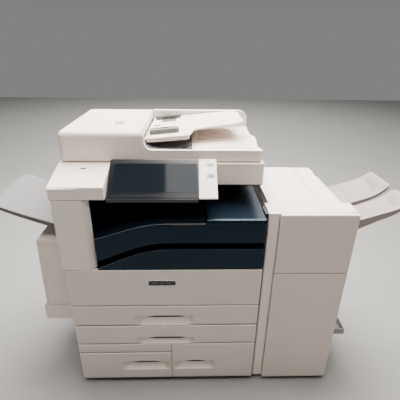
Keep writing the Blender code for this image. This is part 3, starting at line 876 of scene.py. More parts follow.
def make_column():
    """The light column left of the output bay, and the sloping cap on it."""
    x, y, z = span("left_column")
    corner = arc((0.012, 0.012), 0.012, 180, 270, 6)
    footprint = [
        (0.0, y[1]), *corner, (0.103, 0.0), *arc((0.103, 0.006), 0.006, 270, 315, 3), (x[1], 0.02),
        (x[1], y[1]),
    ]
    column = prism(footprint, "Z", z, 0.0012)
    hollow = block((0.004, x[1] - 0.004), (0.028, y[1] + 0.001), (0.605, 0.878), 0)
    form("left_column", cut(column, [hollow]))

    x, y, z = span("column_cap")
    slope = soften([(0.0, z[0]), (y[1], z[0]), (y[1], z[1]), (0.0, 0.929)], [0.001, 0.001, 0.003, 0.006])
    cap = prism(slope, "X", x, 0.004, 4, 40.0, lambda edge: max(v.co.z for v in edge.verts) > 0.89)
    groove = [
        block((-0.01, 0.103), (-0.001, 0.0012), (0.9165, 0.9178), 0),
        block((0.103, 0.1042), (-0.001, 0.0012), (z[0] - 0.001, 0.9178), 0),
    ]
    under = block((0.004, 0.18), (0.004, 0.139), (0.88, 0.915), 0)
    sensor = tilted_block((0.0835, 0.1045), (0.101, 0.108), 0.0015)
    bright_edge = prism([(-0.003, 0.918), (0.0115, 0.9345), (-0.003, 0.9345)], "X", (-0.01, 0.1036), 0)
    form("column_cap", cut(cap, [bright_edge, *groove, under, sensor]))
    piece(
        "card_sensor", tilted_block((0.0838, 0.1042), (0.1013, 0.1077), 0.0006, -0.0008), "bezel",
        "column_cap",
    )


CAP_TILT = math.atan2(0.039, 0.143)


def tilted_block(x, y, thick, drop=0.0):
    """A thin block lying in the cap's slope, its middle at the slope's surface, lowered by drop."""
    middle = sum(y) / 2
    mesh = block(x, (y[0] - middle, y[1] - middle), (-thick, thick), min(0.0004, thick / 3))
    height = 0.929 + math.tan(CAP_TILT) * middle + drop
    mesh.transform(Matrix.Translation((0.0, middle, height)) @ Matrix.Rotation(CAP_TILT, 4, "X"))
    return mesh


# ---------------------------------------------------------------- scanner
GLASS_Y = (0.185, 0.545)


def make_scanner():
    """The housing under the lid, its glass, its scales and what shows through it."""
    x, y, z = span("scanner_housing")
    footprint = [(0.0, 0.1445), (0.186, 0.1445), (0.186, y[0]), (x[1], y[0]), (x[1], y[1]), (0.0, y[1])]
    seam = (0.9615, 0.9627)
    housing = prism(soften(footprint, [0.004, 0.001, 0.002, 0.006, 0.01, 0.01]), "Z", z, 0.003, 4)
    cuts = [
        block((0.03, 0.71), (0.17, 0.59), (0.896, 0.96), 0),
        block((0.11, 0.65), GLASS_Y, (0.955, 0.97), 0),
        block((0.102, 0.658), (0.177, 0.553), (0.963, 0.97), 0),
        block((0.19, x[1] + 0.001), into_low(y, 0.001), seam, 0),
        block(into_high(x, 0.001), right_through(y), seam, 0),
        block(into_high(x, 0.001), right_through(y), (0.9, 0.9012), 0),
        block((-0.001, 0.001), (0.14, y[1] + 0.001), seam, 0),
    ]
    form("scanner_housing", cut(housing, cuts))
    piece("scanner_floor_lining", block((0.0305, 0.7095), (0.1705, 0.5895), (0.8963, 0.8985), 0.0005),
          "black_plastic", "scanner_housing")
    form("platen_glass", block(*span("platen_glass"), 0.0004, 2))
    glass_top = 0.9681
    strip = block((0.104, 0.656), (0.1785, 0.1885), (glass_top, 0.9684), 0.0001)
    piece("size_scale", strip, "printed_grey", "platen_glass")
    ticks = []
    for step in range(28):
        at = 0.108 + step * 0.02
        long = 0.0085 if step % 5 == 0 else 0.0045
        ticks.append(block((at, at + 0.0008), (0.1793, 0.1793 + long), (0.96841, 0.96855), 0))
    piece("size_scale_ticks", ticks, "foam_white", "platen_glass")
    feed_glass = block((0.06, 0.088), GLASS_Y, (glass_top, 0.969), 0.0003)
    piece("feed_scan_glass", feed_glass, "bezel", "scanner_housing")
    ramp_side = [(0.0885, glass_top), (0.0985, glass_top), (0.0985, 0.9684), (0.0885, 0.97)]
    piece("feed_glass_ramp", prism(ramp_side, "Y", GLASS_Y, 0.0001), "foam_white", "scanner_housing")
    for at in (0.2, 0.55):
        piece(
            f"scan_rod_{round(at * 100)}", rod((at, 0.92), 0.003, (0.034, 0.706), "X"), "chrome",
            "scanner_housing",
        )
    make_carriage()


def make_carriage():
    x, y, z = span("scan_carriage")
    body = block(x, y, (z[0], z[1] - 0.003), 0.0015)
    trough = block(within(x, 0.016), within(y, 0.012), (z[1] - 0.012, z[1]), 0)
    form("scan_carriage", cut(body, [trough]))
    piece("scan_lamp", block((x[0] + 0.018, x[0] + 0.023), within(y, 0.014), (z[1] - 0.012, z[1] - 0.008),
                             0.0008), "foam_white", "scan_carriage")
    mirror = prism(
        [
            (x[1] - 0.024, z[1] - 0.0115), (x[1] - 0.017, z[1] - 0.0045), (x[1] - 0.018, z[1] - 0.004),
            (x[1] - 0.025, z[1] - 0.011),
        ],
        "Y", within(y, 0.014), 0.0001,
    )
    piece("scan_mirror", mirror, "chrome", "scan_carriage")


# ---------------------------------------------------------------- output bay
RAMP_X = (0.24, 0.4)
UPPER_TOP = (0.793, 0.33)
UPPER_SKIRT = (0.713, 0.42)
LOWER_TOP = (0.687, 0.43)
BAY_FLOOR_Z = 0.601


def ramp(surface, x):
    """Height of an output surface (level height, slope) at x: level at the right, sloping at the left."""
    level, slope = surface
    start, end = RAMP_X
    if x >= end:
        return level
    if x >= start:
        return level - slope * (end - x) ** 2 / (2 * (end - start))
    return level - slope * (end - start) / 2 - slope * (start - x)


def ramp_line(surface, x_from, x_to, drop=0.0, steps=20):
    """Points along an output surface, bend included, lowered by drop."""
    start, end = RAMP_X
    bends = [start + (end - start) * step / steps for step in range(steps + 1)]
    return [(x, ramp(surface, x) - drop) for x in [x_from, *bends, x_to]]


GRIP_X = (0.345, 0.5262)
GRIP_Z = (0.7895, 0.7845)  # at its left end and its right end


def make_output_bay():
    """The two dark output trays, and what lines the bay round them."""
    x, y, z = span("upper_output_tray")
    left, right = x
    outline = [*ramp_line(UPPER_TOP, left, right), *reversed(ramp_line(UPPER_SKIRT, left, right))]
    tray = prism(outline, "Y", y, 0.0035, 5, 40.0)
    inside = (left + 0.004, right - 0.004)
    hollow = [*ramp_line(UPPER_TOP, *inside, 0.0045), (inside[1], 0.55), (inside[0], 0.55)]
    skirt = into_low(y, 0.0012)
    grip = [
        (GRIP_X[0], 0.796), (GRIP_X[0], GRIP_Z[0]), *grip_curve(), (GRIP_X[1], GRIP_Z[1]), (GRIP_X[1], 0.796),
    ]
    cuts = [
        prism(hollow, "Y", (y[0] + 0.005, y[1] + 0.001), 0),
        block((GRIP_X[1], 0.5278), into_low(y, 0.003), (0.7, GRIP_Z[1]), 0),
        block((0.5278, right + 0.001), skirt, (0.7718, 0.7732), 0),
        prism(grip, "Y", into_low(y, 0.0035), 0),
    ]
    form("upper_output_tray", cut(tray, cuts))
    fillet = [(0.347, 0.7925), (0.347, 0.7898), *grip_curve(0.0004), (0.5255, 0.7849), (0.5255, 0.7925)]
    scoop = prism(fillet, "Y", (y[0] + 0.003, y[0] + 0.0048), 0.0006)
    piece("output_grip", scoop, "bezel", "upper_output_tray")
    make_tray_ribs(inside, y)

    x, y, z = span("lower_output_tray")
    outline = [*ramp_line(LOWER_TOP, left, right), (right, z[0]), (left, z[0])]
    shape = prism(outline, "Y", y, 0.003, 5, 40.0)
    hollow = [*ramp_line(LOWER_TOP, 0.16, right - 0.004, 0.0045), (right - 0.004, 0.55), (0.16, 0.55)]
    form("lower_output_tray", cut(shape, [prism(hollow, "Y", (y[0] + 0.005, y[1] + 0.001), 0)]))
    # A thin wire in the lighter trim along each tray's front edge: a painted highlight line.
    for name, surface in {"upper_output_tray": UPPER_TOP, "lower_output_tray": LOWER_TOP}.items():
        ends = (left + 0.003, 0.5255 if "upper" in name else right - 0.003)
        line = [(x, y[0] + 0.0016, z - 0.0016) for x, z in ramp_line(surface, *ends)]
        piece(f"{name}_edge", wire(line, 0.0013), "edge_trim", name)
    make_transport_cover()
    make_bay_lining()


def grip_curve(lift=0.0, steps=14):
    """The sagging lower edge of the finger grip, left to right."""
    points = []
    for step in range(1, steps):
        t = step / steps
        sag = 0.0075 * math.sin(math.pi * t) ** 1.5
        points.append(
            (GRIP_X[0] + (GRIP_X[1] - GRIP_X[0]) * t, GRIP_Z[0] + (GRIP_Z[1] - GRIP_Z[0]) * t - sag + lift)
        )
    return points


def make_tray_ribs(x, y):
    """Low rails along the upper tray that keep sheets off its surface."""
    top = ramp_line(UPPER_TOP, x[0] + 0.01, 0.515, -0.0009)
    under = ramp_line(UPPER_TOP, x[0] + 0.01, 0.515, 0.001)
    for row in range(7):
        middle = y[0] + 0.045 + row * 0.075
        rail = prism([*top, *reversed(under)], "Y", (middle, middle + 0.003), 0.0005, 2)
        piece(f"output_rail_{row + 1}", rail, "dark_plastic", "upper_output_tray")


def make_transport_cover():
    x, y, z = span("transport_cover")
    edge = arc((y[0] + 0.011, z[1] - 0.011), 0.011, 180, 90, 8)
    rear = arc((y[1] - 0.002, z[1] - 0.002), 0.002, 90, 0, 3)
    shape = prism([(y[0], z[0]), *edge, *rear, (y[1], z[0])], "X", x, 0.0012, 3, 40.0)
    cuts = [
        block((0.63, 0.6325), (0.06, 0.25), (z[1] - 0.002, z[1] + 0.002), 0),
        block(within(x, 0.01), (0.3, 0.3012), (z[1] - 0.001, z[1] + 0.002), 0),
    ]
    form("transport_cover", cut(shape, cuts))
    # A thin wire in the lighter trim along the cover's front edge: a painted highlight line.
    highlight_line = [(x[0] + 0.003, y[0] + 0.0036, z[1] - 0.003), (x[1] - 0.003, y[0] + 0.0036, z[1] - 0.003)]
    piece("transport_cover_edge", wire(highlight_line, 0.0011), "edge_trim", "transport_cover")


def make_bay_lining():
    """Dark walls behind, beside and above the output trays, and the slots that sheets come out of."""
    back = block((0.1285, 0.7375), (0.5605, 0.5645), (BAY_FLOOR_Z, 0.887), 0.001)
    piece("bay_back_wall", back, "black_plastic", "scanner_housing")
    piece("bay_ceiling", block((0.1285, 0.7375), (0.132, 0.56), (0.8835, 0.8872), 0.001), "black_plastic",
          "scanner_housing")
    wall = block((0.1255, 0.1282), (0.021, 0.5645), (BAY_FLOOR_Z, 0.8825), 0.0008)
    piece("bay_left_wall", wall, "dark_plastic", "left_column")
    mouth = block((0.733, 0.7372), (0.16, 0.545), (0.6905, 0.7085), 0.0015)
    piece("exit_mouth", mouth, "black_plastic", "scanner_housing")
    ribs = [
        block((0.7375, 0.7455), (0.032, 0.096), (low, low + 0.006), 0.001)
        for low in steps_between(0.05, 0.81, 60)
    ]
    ribs.append(block((0.7402, 0.7455), (0.0205, 0.0245), (0.034, 0.822), 0.0008))
    piece("docking_seal", ribs, "black_plastic", "right_side_cover")


# ---------------------------------------------------------------- front door and print engine
def lit_edge(front, top):
    """The top of a front, from its flat ledge over a small round to its face. It catches the light."""
    rounded = [(0.0022, 0.0005), (0.0012, 0.001), (0.0004, 0.002), (0.0, 0.0036)]
    return [(front + 0.009, top), *((front + back, top - down) for back, down in rounded)]


def make_front_door():
    x, y, z = span("front_door")
    axis = (0.008, z[0] + 0.008)
    profile = [*arc(axis, 0.008, 180, 360, 12), (0.016, z[1]), *lit_edge(y[0], z[1])]
    door = prism(profile, "X", x, 0.0012, 3, 40.0)
    recess = block(within(x, 0.012), (0.0125, 0.02), within(z, 0.025, 0.012), 0)
    # The door's face uses the darker copy of the shell: painted shade.
    form("front_door", cut(door, [recess]), "shell_front")
    painted_highlight_bead("front_door")
    ribs = [
        block((at, at + 0.0025), (0.0126, 0.0158), within(z, 0.026, 0.013), 0.0004)
        for at in steps_between(x[0] + 0.06, x[1] - 0.06, 9)
    ]
    piece("front_door_ribs", ribs, "shell", "front_door")
    for name, at in {"left": x[0] + 0.04, "right": x[1] - 0.07}.items():
        catch = block((at, at + 0.03), (0.0128, 0.0175), (z[1] - 0.03, z[1] - 0.018), 0.001)
        piece(f"front_door_catch_{name}", catch, "guide_plastic", "front_door")
    make_badge()


def make_badge():
    """A plain oval plate with a bright rim. It carries no mark."""
    u, v = (0.3095, 0.4195), (0.527, 0.555)
    half = (v[1] - v[0]) / 2

    def oval(shrink):
        area = rectangle((u[0] + shrink, u[1] - shrink), (v[0] + shrink, v[1] - shrink))
        return soften(area, half - shrink, 10)

    rim = cut(
        prism(oval(0.0), "Y", (-0.0016, 0.0006), 0.0005), [prism(oval(0.0028), "Y", (-0.003, -0.0006), 0)],
    )
    piece("badge_rim", rim, "chrome", "front_door")
    piece("badge_plate", prism(oval(0.003), "Y", (-0.0011, 0.0002), 0.0003), "bezel", "front_door")
    middle = sum(v) / 2
    bars = [block((u[0] + 0.02 + step * 0.026, u[0] + 0.038 + step * 0.026), (-0.0014, -0.0009),
                  (middle - 0.0012, middle + 0.0012), 0.0002) for step in range(3)]
    piece("badge_bars", bars, "guide_plastic", "front_door")


def make_engine():
    """What the front door hides: toner bottle, drum, fuser pair and their inner cover."""
    x, y, z = span("toner_bottle")
    centre = middle_of(x, z)
    radius = (x[1] - x[0]) / 2
    profile = [
        (0.0002, y[0]), (radius * 0.8, y[0]), (radius * 0.86, y[0] + 0.003), (radius * 0.86, y[0] + 0.02),
        (radius, y[0] + 0.024),
    ]
    for step, along in enumerate(steps_between(y[0] + 0.034, y[1] - 0.026, 36)):
        profile.append((radius * (1.0 if step % 4 in (0, 1) else 0.92), along))
    profile += [(radius, y[1] - 0.018), (radius * 0.96, y[1] - 0.004), (radius * 0.6, y[1]), (0.0002, y[1])]
    form("toner_bottle", turned(profile, centre, "Y", 48), "black_plastic")
    tab = block((centre[0] - 0.005, centre[0] + 0.005), (y[0] - 0.004, y[0] + 0.001),
                (centre[1] - 0.022, centre[1] + 0.022), 0.0015)
    piece("toner_bottle_tab", tab, "lever_green", "toner_bottle")

    x, y, z = span("imaging_drum")
    form("imaging_drum", rod(middle_of(x, z), (x[1] - x[0]) / 2, y, edge=0.001, steps=64))
    flanges = [rod(middle_of(x, z), 0.0145, (at, at + 0.004)) for at in (y[0] - 0.0045, y[1] + 0.0005)]
    piece("drum_flanges", flanges, "guide_plastic", "imaging_drum")
    for name in ("fuser_roller", "pressure_roller"):
        x, y, z = span(name)
        middle = middle_of(x, z)
        form(name, rod(middle, (x[1] - x[0]) / 2 - 0.0001, y, edge=0.0015, steps=48))
        piece(
            f"{name}_shaft",
            [rod(middle, 0.005, (y[0] - 0.008, y[0])), rod(middle, 0.005, (y[1], y[1] + 0.008))], "steel",
            name,
        )
    make_inner_cover()


ENGINE_FRAME_Y = (0.0385, 0.0415)
ENGINE_Z = (0.4325, 0.596)


def make_inner_cover():
    """The panel with the latches beside the engine, and the open frame round the cartridges."""
    plate = block((0.014, 0.286), ENGINE_FRAME_Y, (0.432, 0.596), 0.001)
    holes = [
        rod((0.24, 0.52), 0.0385, (0.03, 0.05)), rod((0.14, 0.5), 0.018, (0.03, 0.05)),
        slot_tool((0.028, 0.1), (0.538, 0.583), 0.008, "Y", (0.03, 0.05)),
    ]
    piece("engine_inner_cover", cut(plate, holes), "guide_plastic", "left_column")
    for name, centre in {
        "drum_latch": (0.085, 0.47), "fuser_latch": (0.12, 0.572), "belt_latch": (0.195, 0.462),
    }.items():
        hub = rod(centre, 0.01, (0.032, 0.0384))
        arm = block(
            (centre[0] - 0.0035, centre[0] + 0.0035), (0.03, 0.0345), (centre[1] - 0.024, centre[1]), 0.0012,
        )
        piece(name, [hub, arm], "lever_green", "left_column")
    box = block((0.292, 0.724), ENGINE_FRAME_Y, ENGINE_Z, 0.001)
    window = slot_tool((0.3, 0.716), (0.44, 0.588), 0.008, "Y", (0.03, 0.05))
    piece("engine_bay_frame", cut(box, [window]), "guide_plastic", "left_column")
    around = (
        ((0.292, 0.724), (0.6, 0.603)), ((0.289, 0.2915), (0.0385, 0.603)),
        ((0.7245, 0.727), (0.0385, 0.603)),
    )
    walls = [block(x, y, ENGINE_Z, 0.0008) for x, y in around]
    piece("engine_bay_walls", walls, "black_plastic", "mid_shelf")
    for step, at in enumerate((0.345, 0.44, 0.535, 0.63)):
        rails = [
            block((at + by, at + by + 0.004), (0.045, 0.59), (0.4272, 0.4345), 0.001) for by in (0.0, 0.05)
        ]
        piece(f"cartridge_rail_{step + 1}", rails, "guide_plastic", "mid_shelf")


# ---------------------------------------------------------------- paper trays
def hand_recess(grip, depth):
    """Cutters for a tray's grip: a cove with a flat lip below and sloping ends, and a slit above it."""
    left, right, low, high = grip
    rise = (high - low) * 0.55
    rings = [
        [
            (u, -0.002, v)
            for u, v in soften(rectangle((left, right), (low, high)), [0.009, 0.009, 0.002, 0.002])
        ],
    ]
    for turn in quarter(6):
        across, up = math.sin(turn), 1 - math.cos(turn)
        plan = rectangle((left + 0.03 * across, right - 0.026 * across), (low + rise * up, high))
        ring = soften(plan, [0.009 - 0.004 * across] * 2 + [0.002] * 2)
        rings.append([(u, -0.0002 + depth * across, v) for u, v in ring])
    slit = soften(rectangle((left + 0.045, right - 0.04), (high - 0.004, high + 0.0042)), 0.002)
    return [loft(rings), prism(slit, "Y", (-0.002, depth), 0)]


TRAY_GRIPS = {
    "tray_1": (0.247, 0.49, 0.33, 0.38),
    "tray_2": (0.247, 0.492, 0.23, 0.266),
    "tray_3": (0.172, 0.386, 0.08, 0.127),
    "tray_4": (0.397, 0.577, 0.081, 0.129),
}
GRIP_DEPTH = 0.012
PAPER_LENGTH = 0.42


def grip_highlight_liner(grip, depth):
    """A lighter lining of a grip's cove, from its flat lip up its back: a painted highlight on the lip
    against the darker front.
    """
    left, right, low, high = grip
    rise = (high - low) * 0.55
    turns = quarter(9)
    cove = [(depth * math.sin(turn), low + rise * (1 - math.cos(turn))) for turn in turns]
    cove.append((depth, high - 0.002))
    shown = [(y - 0.0003, z + 0.0004) for y, z in cove]
    hidden = [(y + 0.0006, z - 0.0003) for y, z in cove]
    return prism([*shown, *hidden[::-1]], "X", (left + 0.026, right - 0.023), 0)


def painted_highlight_bead(name):
    """A thin bead in the lighter copy of the shell along the top edge of a front: a painted highlight."""
    x, y, z = span(name)
    bead = block(within(x, 0.0015), (y[0] - 0.0002, y[0] + 0.004), (z[1] - 0.0032, z[1] - 0.0002), 0.0011)
    piece(f"{name}_edge_bead", bead, "shell_light", name)


def front_panel(x, y, z, cuts=()):
    """A drawer front: rounded top edge that catches the light, and a chamfer along the bottom."""
    foot = [(y[0], z[0] + 0.01), (y[0] + 0.0015, z[0] + 0.006), (y[0] + 0.0075, z[0])]
    profile = [*lit_edge(y[0], z[1]), *foot, (y[1], z[0]), (y[1], z[1])]
    return cut(prism(profile, "X", x, 0.0012, 3, 40.0), cuts)


def make_trays():
    for name, grip in TRAY_GRIPS.items():
        x, y, z = span(f"{name}_front")
        # Each tray front uses the darker copy of the shell: painted shade.
        form(f"{name}_front", front_panel(x, y, z, hand_recess(grip, GRIP_DEPTH)), "shell_front")
        piece(f"{name}_grip_highlight_liner", grip_highlight_liner(grip, GRIP_DEPTH), "shell", f"{name}_front")
        painted_highlight_bead(f"{name}_front")
        # A black strip set into the back of the grip's cove, just below its upper lip: painted shade.
        left, right, high = grip[0] + 0.05, grip[1] - 0.035, grip[3]
        slot = [(left, high - 0.0135), (left + 0.03, high - 0.017), (right - 0.03, high - 0.017),
                (right, high - 0.0135), (right - 0.03, high - 0.01), (left + 0.03, high - 0.01)]
        shade_depth = (GRIP_DEPTH - 0.0009, GRIP_DEPTH + 0.003)
        piece(f"{name}_grip_painted_shade", prism(slot, "Y", shade_depth, 0.0003, 1), "black_plastic", f"{name}_front")
        make_bin(name)
    # The strip above the trays uses the same darker copy of the shell: painted shade.
    form("tray_top_strip", front_panel(*span("tray_top_strip")), "shell_front")
    painted_highlight_bead("tray_top_strip")
    marks = {
        "tray_1_front": [(0.7, 0.345, 0.022)], "tray_2_front": [(0.068, 0.26, 0.007)],
        "tray_3_front": [(0.07, 0.116, 0.005)],
        "tray_4_front": [(0.609, 0.119, 0.006), (0.655, 0.1055, 0.03)],
    }
    for name, places in marks.items():
        for number, (x, z, wide) in enumerate(places, 1):
            make_size_mark(f"{name}_mark_{number}", x, z, wide, name)


def make_size_mark(name, x, z, wide, on):
    """A small raised window or arrow by a tray's edge, with no lettering."""
    left, right = x - wide / 2, x + wide / 2
    if wide > 0.01:
        window = soften(rectangle((left, right), (z - 0.0016, z + 0.0016)), 0.0014)
        piece(name, prism(window, "Y", (-0.0005, 0.0004), 0.0001), "foam_white", on)
    else:
        arrow = [(left, z + wide / 2), (right, z + wide / 2), (x, z - wide / 2)]
        piece(name, prism(arrow, "Y", (-0.0004, 0.0004), 0.0001), "printed_grey", on)


def make_bin(name):
    """A paper bin with rails, guides, its lift plate and the paper on it."""
    x, y, z = span(f"{name}_bin")
    form(f"{name}_bin", bevelled(cad_mesh(f"{name}_bin"), 0.0009))
    deck = span(f"{name}_lift_plate")
    plate = block(*deck, 0.0005)
    middle = sum(deck[0]) / 2
    holes = [
        slot_tool(
            (middle + u - 0.012, middle + u + 0.012), (v, v + 0.05), 0.008, "Z",
            (deck[2][0] - 0.001, deck[2][1] + 0.001),
        )
        for u in (-0.1, 0.1) for v in (0.1, 0.32)
    ]
    form(f"{name}_lift_plate", cut(plate, holes))
    front, back = y[0] + 0.045, min(y[0] + 0.045 + PAPER_LENGTH, y[1] - 0.06)
    sheet_x = within(deck[0], 0.012, 0.008)
    pile = block(sheet_x, (front, back), (deck[2][1] + 0.0003, deck[2][1] + 0.016), 0.0003, 2)
    piece(f"{name}_paper", pile, "paper", f"{name}_lift_plate")
    floor = z[0] + 0.0032
    side_guide = [
        block(
            (sheet_x[0] + 0.08, sheet_x[0] + 0.11), (back + 0.012, back + 0.015), (floor, z[1] - 0.012),
            0.001,
        ),
        block(
            (sheet_x[0] + 0.08, sheet_x[0] + 0.11), (back + 0.012, back + 0.045), (floor, floor + 0.003),
            0.001,
        ),
    ]
    piece(f"{name}_rear_guide", side_guide, "guide_plastic", f"{name}_bin")
    sides = ((x[0] - 0.0045, x[0] - 0.0004), (x[1] + 0.0004, x[1] + 0.0045))
    rails = [block(side, within(y, 0.004), (z[0] + 0.03, z[0] + 0.046), 0.001) for side in sides]
    piece(f"{name}_runners", rails, "steel", f"{name}_bin")


# ---------------------------------------------------------------- control panel
PANEL_LOW = Vector((0.0, 0.884))
PANEL_HIGH = Vector((0.1314, 0.9863))
PANEL_LENGTH = (PANEL_HIGH - PANEL_LOW).length
BEZEL_X = (0.187, 0.4995)
STRIP_X = (0.5, 0.564)


def panel_matrix():
    """Takes (x, distance up the face, height above it) to design axes."""
    up = (PANEL_HIGH - PANEL_LOW).normalized()
    columns = (Vector((1, 0, 0)), Vector((0, up.x, up.y)), Vector((0, -up.y, up.x)))
    turn = Matrix(columns).transposed().to_4x4()
    return Matrix.Translation((0.0, PANEL_LOW.x, PANEL_LOW.y)) @ turn


def on_face(outline, heights, radius=0.0003, segments=2):
    """A plate on the panel's face, from its outline (x, distance up) and its two heights."""
    mesh = prism(outline, "Z", heights, radius, segments)
    mesh.transform(panel_matrix())
    return mesh


def make_panel():
    back = [(0.1325, 0.98), (0.1265, 0.97), (0.125, 0.955)]
    corners = [tuple(PANEL_LOW), tuple(PANEL_HIGH), *back, (0.018, 0.866), (0.004, 0.872)]
    shell = soft_plate(corners, [0.003, 0.003, 0.002, 0.002, 0.012, 0.008, 0.006], BEZEL_X, 0.0028, 4, "X")
    grooves = [on_face(rectangle((0.18, 0.51), (s, s + 0.0012)), (-0.001, 0.002), 0) for s in (0.0055, 0.018)]
    well = on_face(rectangle((0.2045, 0.4945), (0.0295, 0.1465)), (-0.0006, 0.002), 0)
    corner = corner_cutter((BEZEL_X[0], PANEL_LENGTH), 0.011, -1)
    form("control_panel", cut(shell, [corner, *grooves, well]), "bezel")
    form(
        "touch_screen",
        on_face(soften(rectangle((0.205, 0.494), (0.03, 0.146)), 0.002), (-0.0004, 0.0008), 0.0003),
    )
    lower = on_face(soften(rectangle((0.19, 0.498), (0.0075, 0.017)), 0.002), (-0.0004, 0.0007), 0.0004)
    piece("panel_lower_trim", lower, "bezel", "control_panel")

    low = PANEL_LOW + (PANEL_HIGH - PANEL_LOW).normalized() * 0.006
    corners = [tuple(low), tuple(PANEL_HIGH), *back, (0.026, 0.875), (0.0085, 0.8822)]
    shell = soft_plate(corners, [0.002, 0.003, 0.002, 0.002, 0.012, 0.006, 0.002], STRIP_X, 0.0022, 4, "X")
    keys = {"power_button": span("power_button")[0], "home_button": span("home_button")[0]}
    rise = {"power_button": (0.1355, 0.147), "home_button": (0.087, 0.1025)}
    pockets = [
        on_face(
            soften(
                rectangle(
                    (keys[n][0] - 0.0009, keys[n][1] + 0.0009), (rise[n][0] - 0.0009, rise[n][1] + 0.0009),
                ),
                0.0024,
            ),
            (-0.004, 0.002), 0,
        )
        for n in keys
    ]
    corner = corner_cutter((STRIP_X[1], PANEL_LENGTH), 0.008, 1)
    form("button_strip", cut(shell, [corner, *pockets]))
    for name in keys:
        area = rectangle(keys[name], rise[name])
        form(name, on_face(soften(area, 0.0018), (-0.0022, 0.0009), 0.0006, 3), "tray_plastic")
        floor = rectangle(
            (keys[name][0] - 0.0008, keys[name][1] + 0.0008),
            (rise[name][0] - 0.0008, rise[name][1] + 0.0008),
        )
        piece(
            f"{name}_well", on_face(soften(floor, 0.002), (-0.0043, -0.004), 0), "black_plastic",
            "button_strip",
        )
    make_icons(keys, rise)
    lamp = on_face(soften(rectangle((0.519, 0.5225), (0.139, 0.1435)), 0.0015), (-0.0002, 0.0003), 0.0001)
    piece("status_lamp", lamp, "lever_green", "button_strip")
    brackets = [block((at, at + 0.034), (0.1258, 0.1296), (0.905, 0.952), 0.001) for at in (0.235, 0.455)]
    piece("panel_brackets", brackets, "black_plastic", "scanner_housing")


def corner_cutter(corner, radius, side):
    """Takes the sharp upper corner off a panel piece, on its left (side -1) or right (side 1)."""
    x, up = corner
    centre = (x - side * radius, up - radius)
    turns = (90, 0) if side > 0 else (90, 180)
    outer = [(x + side * 0.002, up - radius), (x + side * 0.002, up + 0.002), (x - side * radius, up + 0.002)]
    return on_face([*arc(centre, radius, *turns, 8), *outer], (-0.03, 0.01), 0)


def make_icons(keys, rise):
    """A ring with a stroke on the power key, and a roof over a square on the home key."""
    def key_middle(name):
        return Vector((sum(keys[name]) / 2, sum(rise[name]) / 2))

    def drawn(outlines):
        return [on_face(outline, (0.00088, 0.00105), 0) for outline in outlines]

    middle = key_middle("power_button")
    ring = arc(middle, 0.0034, 125, 415, 16) + arc(middle, 0.0026, 415, 125, 16)
    bar = rectangle((middle.x - 0.0004, middle.x + 0.0004), (middle.y + 0.0005, middle.y + 0.004))
    piece("power_icon", drawn([ring, bar]), "black_plastic", "power_button")
    middle = key_middle("home_button")
    roof = [(middle.x - 0.0045, middle.y), (middle.x, middle.y + 0.0045), (middle.x + 0.0045, middle.y)]
    wall = rectangle((middle.x - 0.003, middle.x + 0.003), (middle.y - 0.004, middle.y - 0.0004))
    piece("home_icon", drawn([roof, wall]), "black_plastic", "home_button")


# ---------------------------------------------------------------- document feeder
FEEDER_X = (0.002, 0.732)
FEEDER_Y = (0.143, 0.59)
FEEDER_Z = (0.972, 1.08)
LIP_X = 0.3015
LIP_BEND = (0.3355, 1.044)
RIM_Z = 1.01
DECK_Z = 0.994
REAR_RIM_Y = 0.56


def make_feeder():
    left, right = FEEDER_X
    low, top = FEEDER_Z

    def upper_rear(edge):
        """Whether an edge is in the rear face and above the foot, right of the cover."""
        points = [vertex.co for vertex in edge.verts]
        above = min(point.z for point in points) > low + 0.01
        rear = min(point.y for point in points) > FEEDER_Y[1] - 1e-5
        return rear and above and max(point.x for point in points) > LIP_X

    rear_corner = [(right - 0.04 + u * 1.25, top - 0.032 + v) for u, v in arc((0, 0), 0.032, 0, 90, 10)]
    profile = [(left, low), (right, low), *rear_corner, (LIP_X, top), (LIP_X, 1.05), (left, 1.05)]
    shape = prism(profile, "Y", FEEDER_Y, 0.006, 5, 30.0, upper_rear)
    plan = soft_box(
        FEEDER_X, FEEDER_Y, (low, top + 0.01), (0.026, 0.012, 0.012, 0.026), (0.0,) * 4, (0.0025,) * 4, 3,
    )
    base = cut(shape, [plan], "INTERSECT")
    radius = LIP_BEND[0] - LIP_X
    bend = arc(LIP_BEND, radius, 180, 270, 12)
    scoop = [(LIP_X, top + 0.01), *bend, (right + 0.01, RIM_Z), (right + 0.01, top + 0.01)]
    cuts = [
        prism(scoop, "Y", (FEEDER_Y[0] - 0.001, REAR_RIM_Y), 0),
        block((LIP_X + 0.006, right + 0.01), (FEEDER_Y[0] + 0.007, REAR_RIM_Y), (DECK_Z, RIM_Z + 0.03), 0),
        block((0.01, 0.292), (0.152, 0.582), (0.985, 1.052), 0),
        block((0.288, 0.332), (0.19, 0.55), (1.028, 1.054), 0),
    ]
    form("adf_base", cut(base, cuts))
    make_lip()
    make_deck()
    make_feeder_cover()
    make_input_tray()
    make_feeder_details()


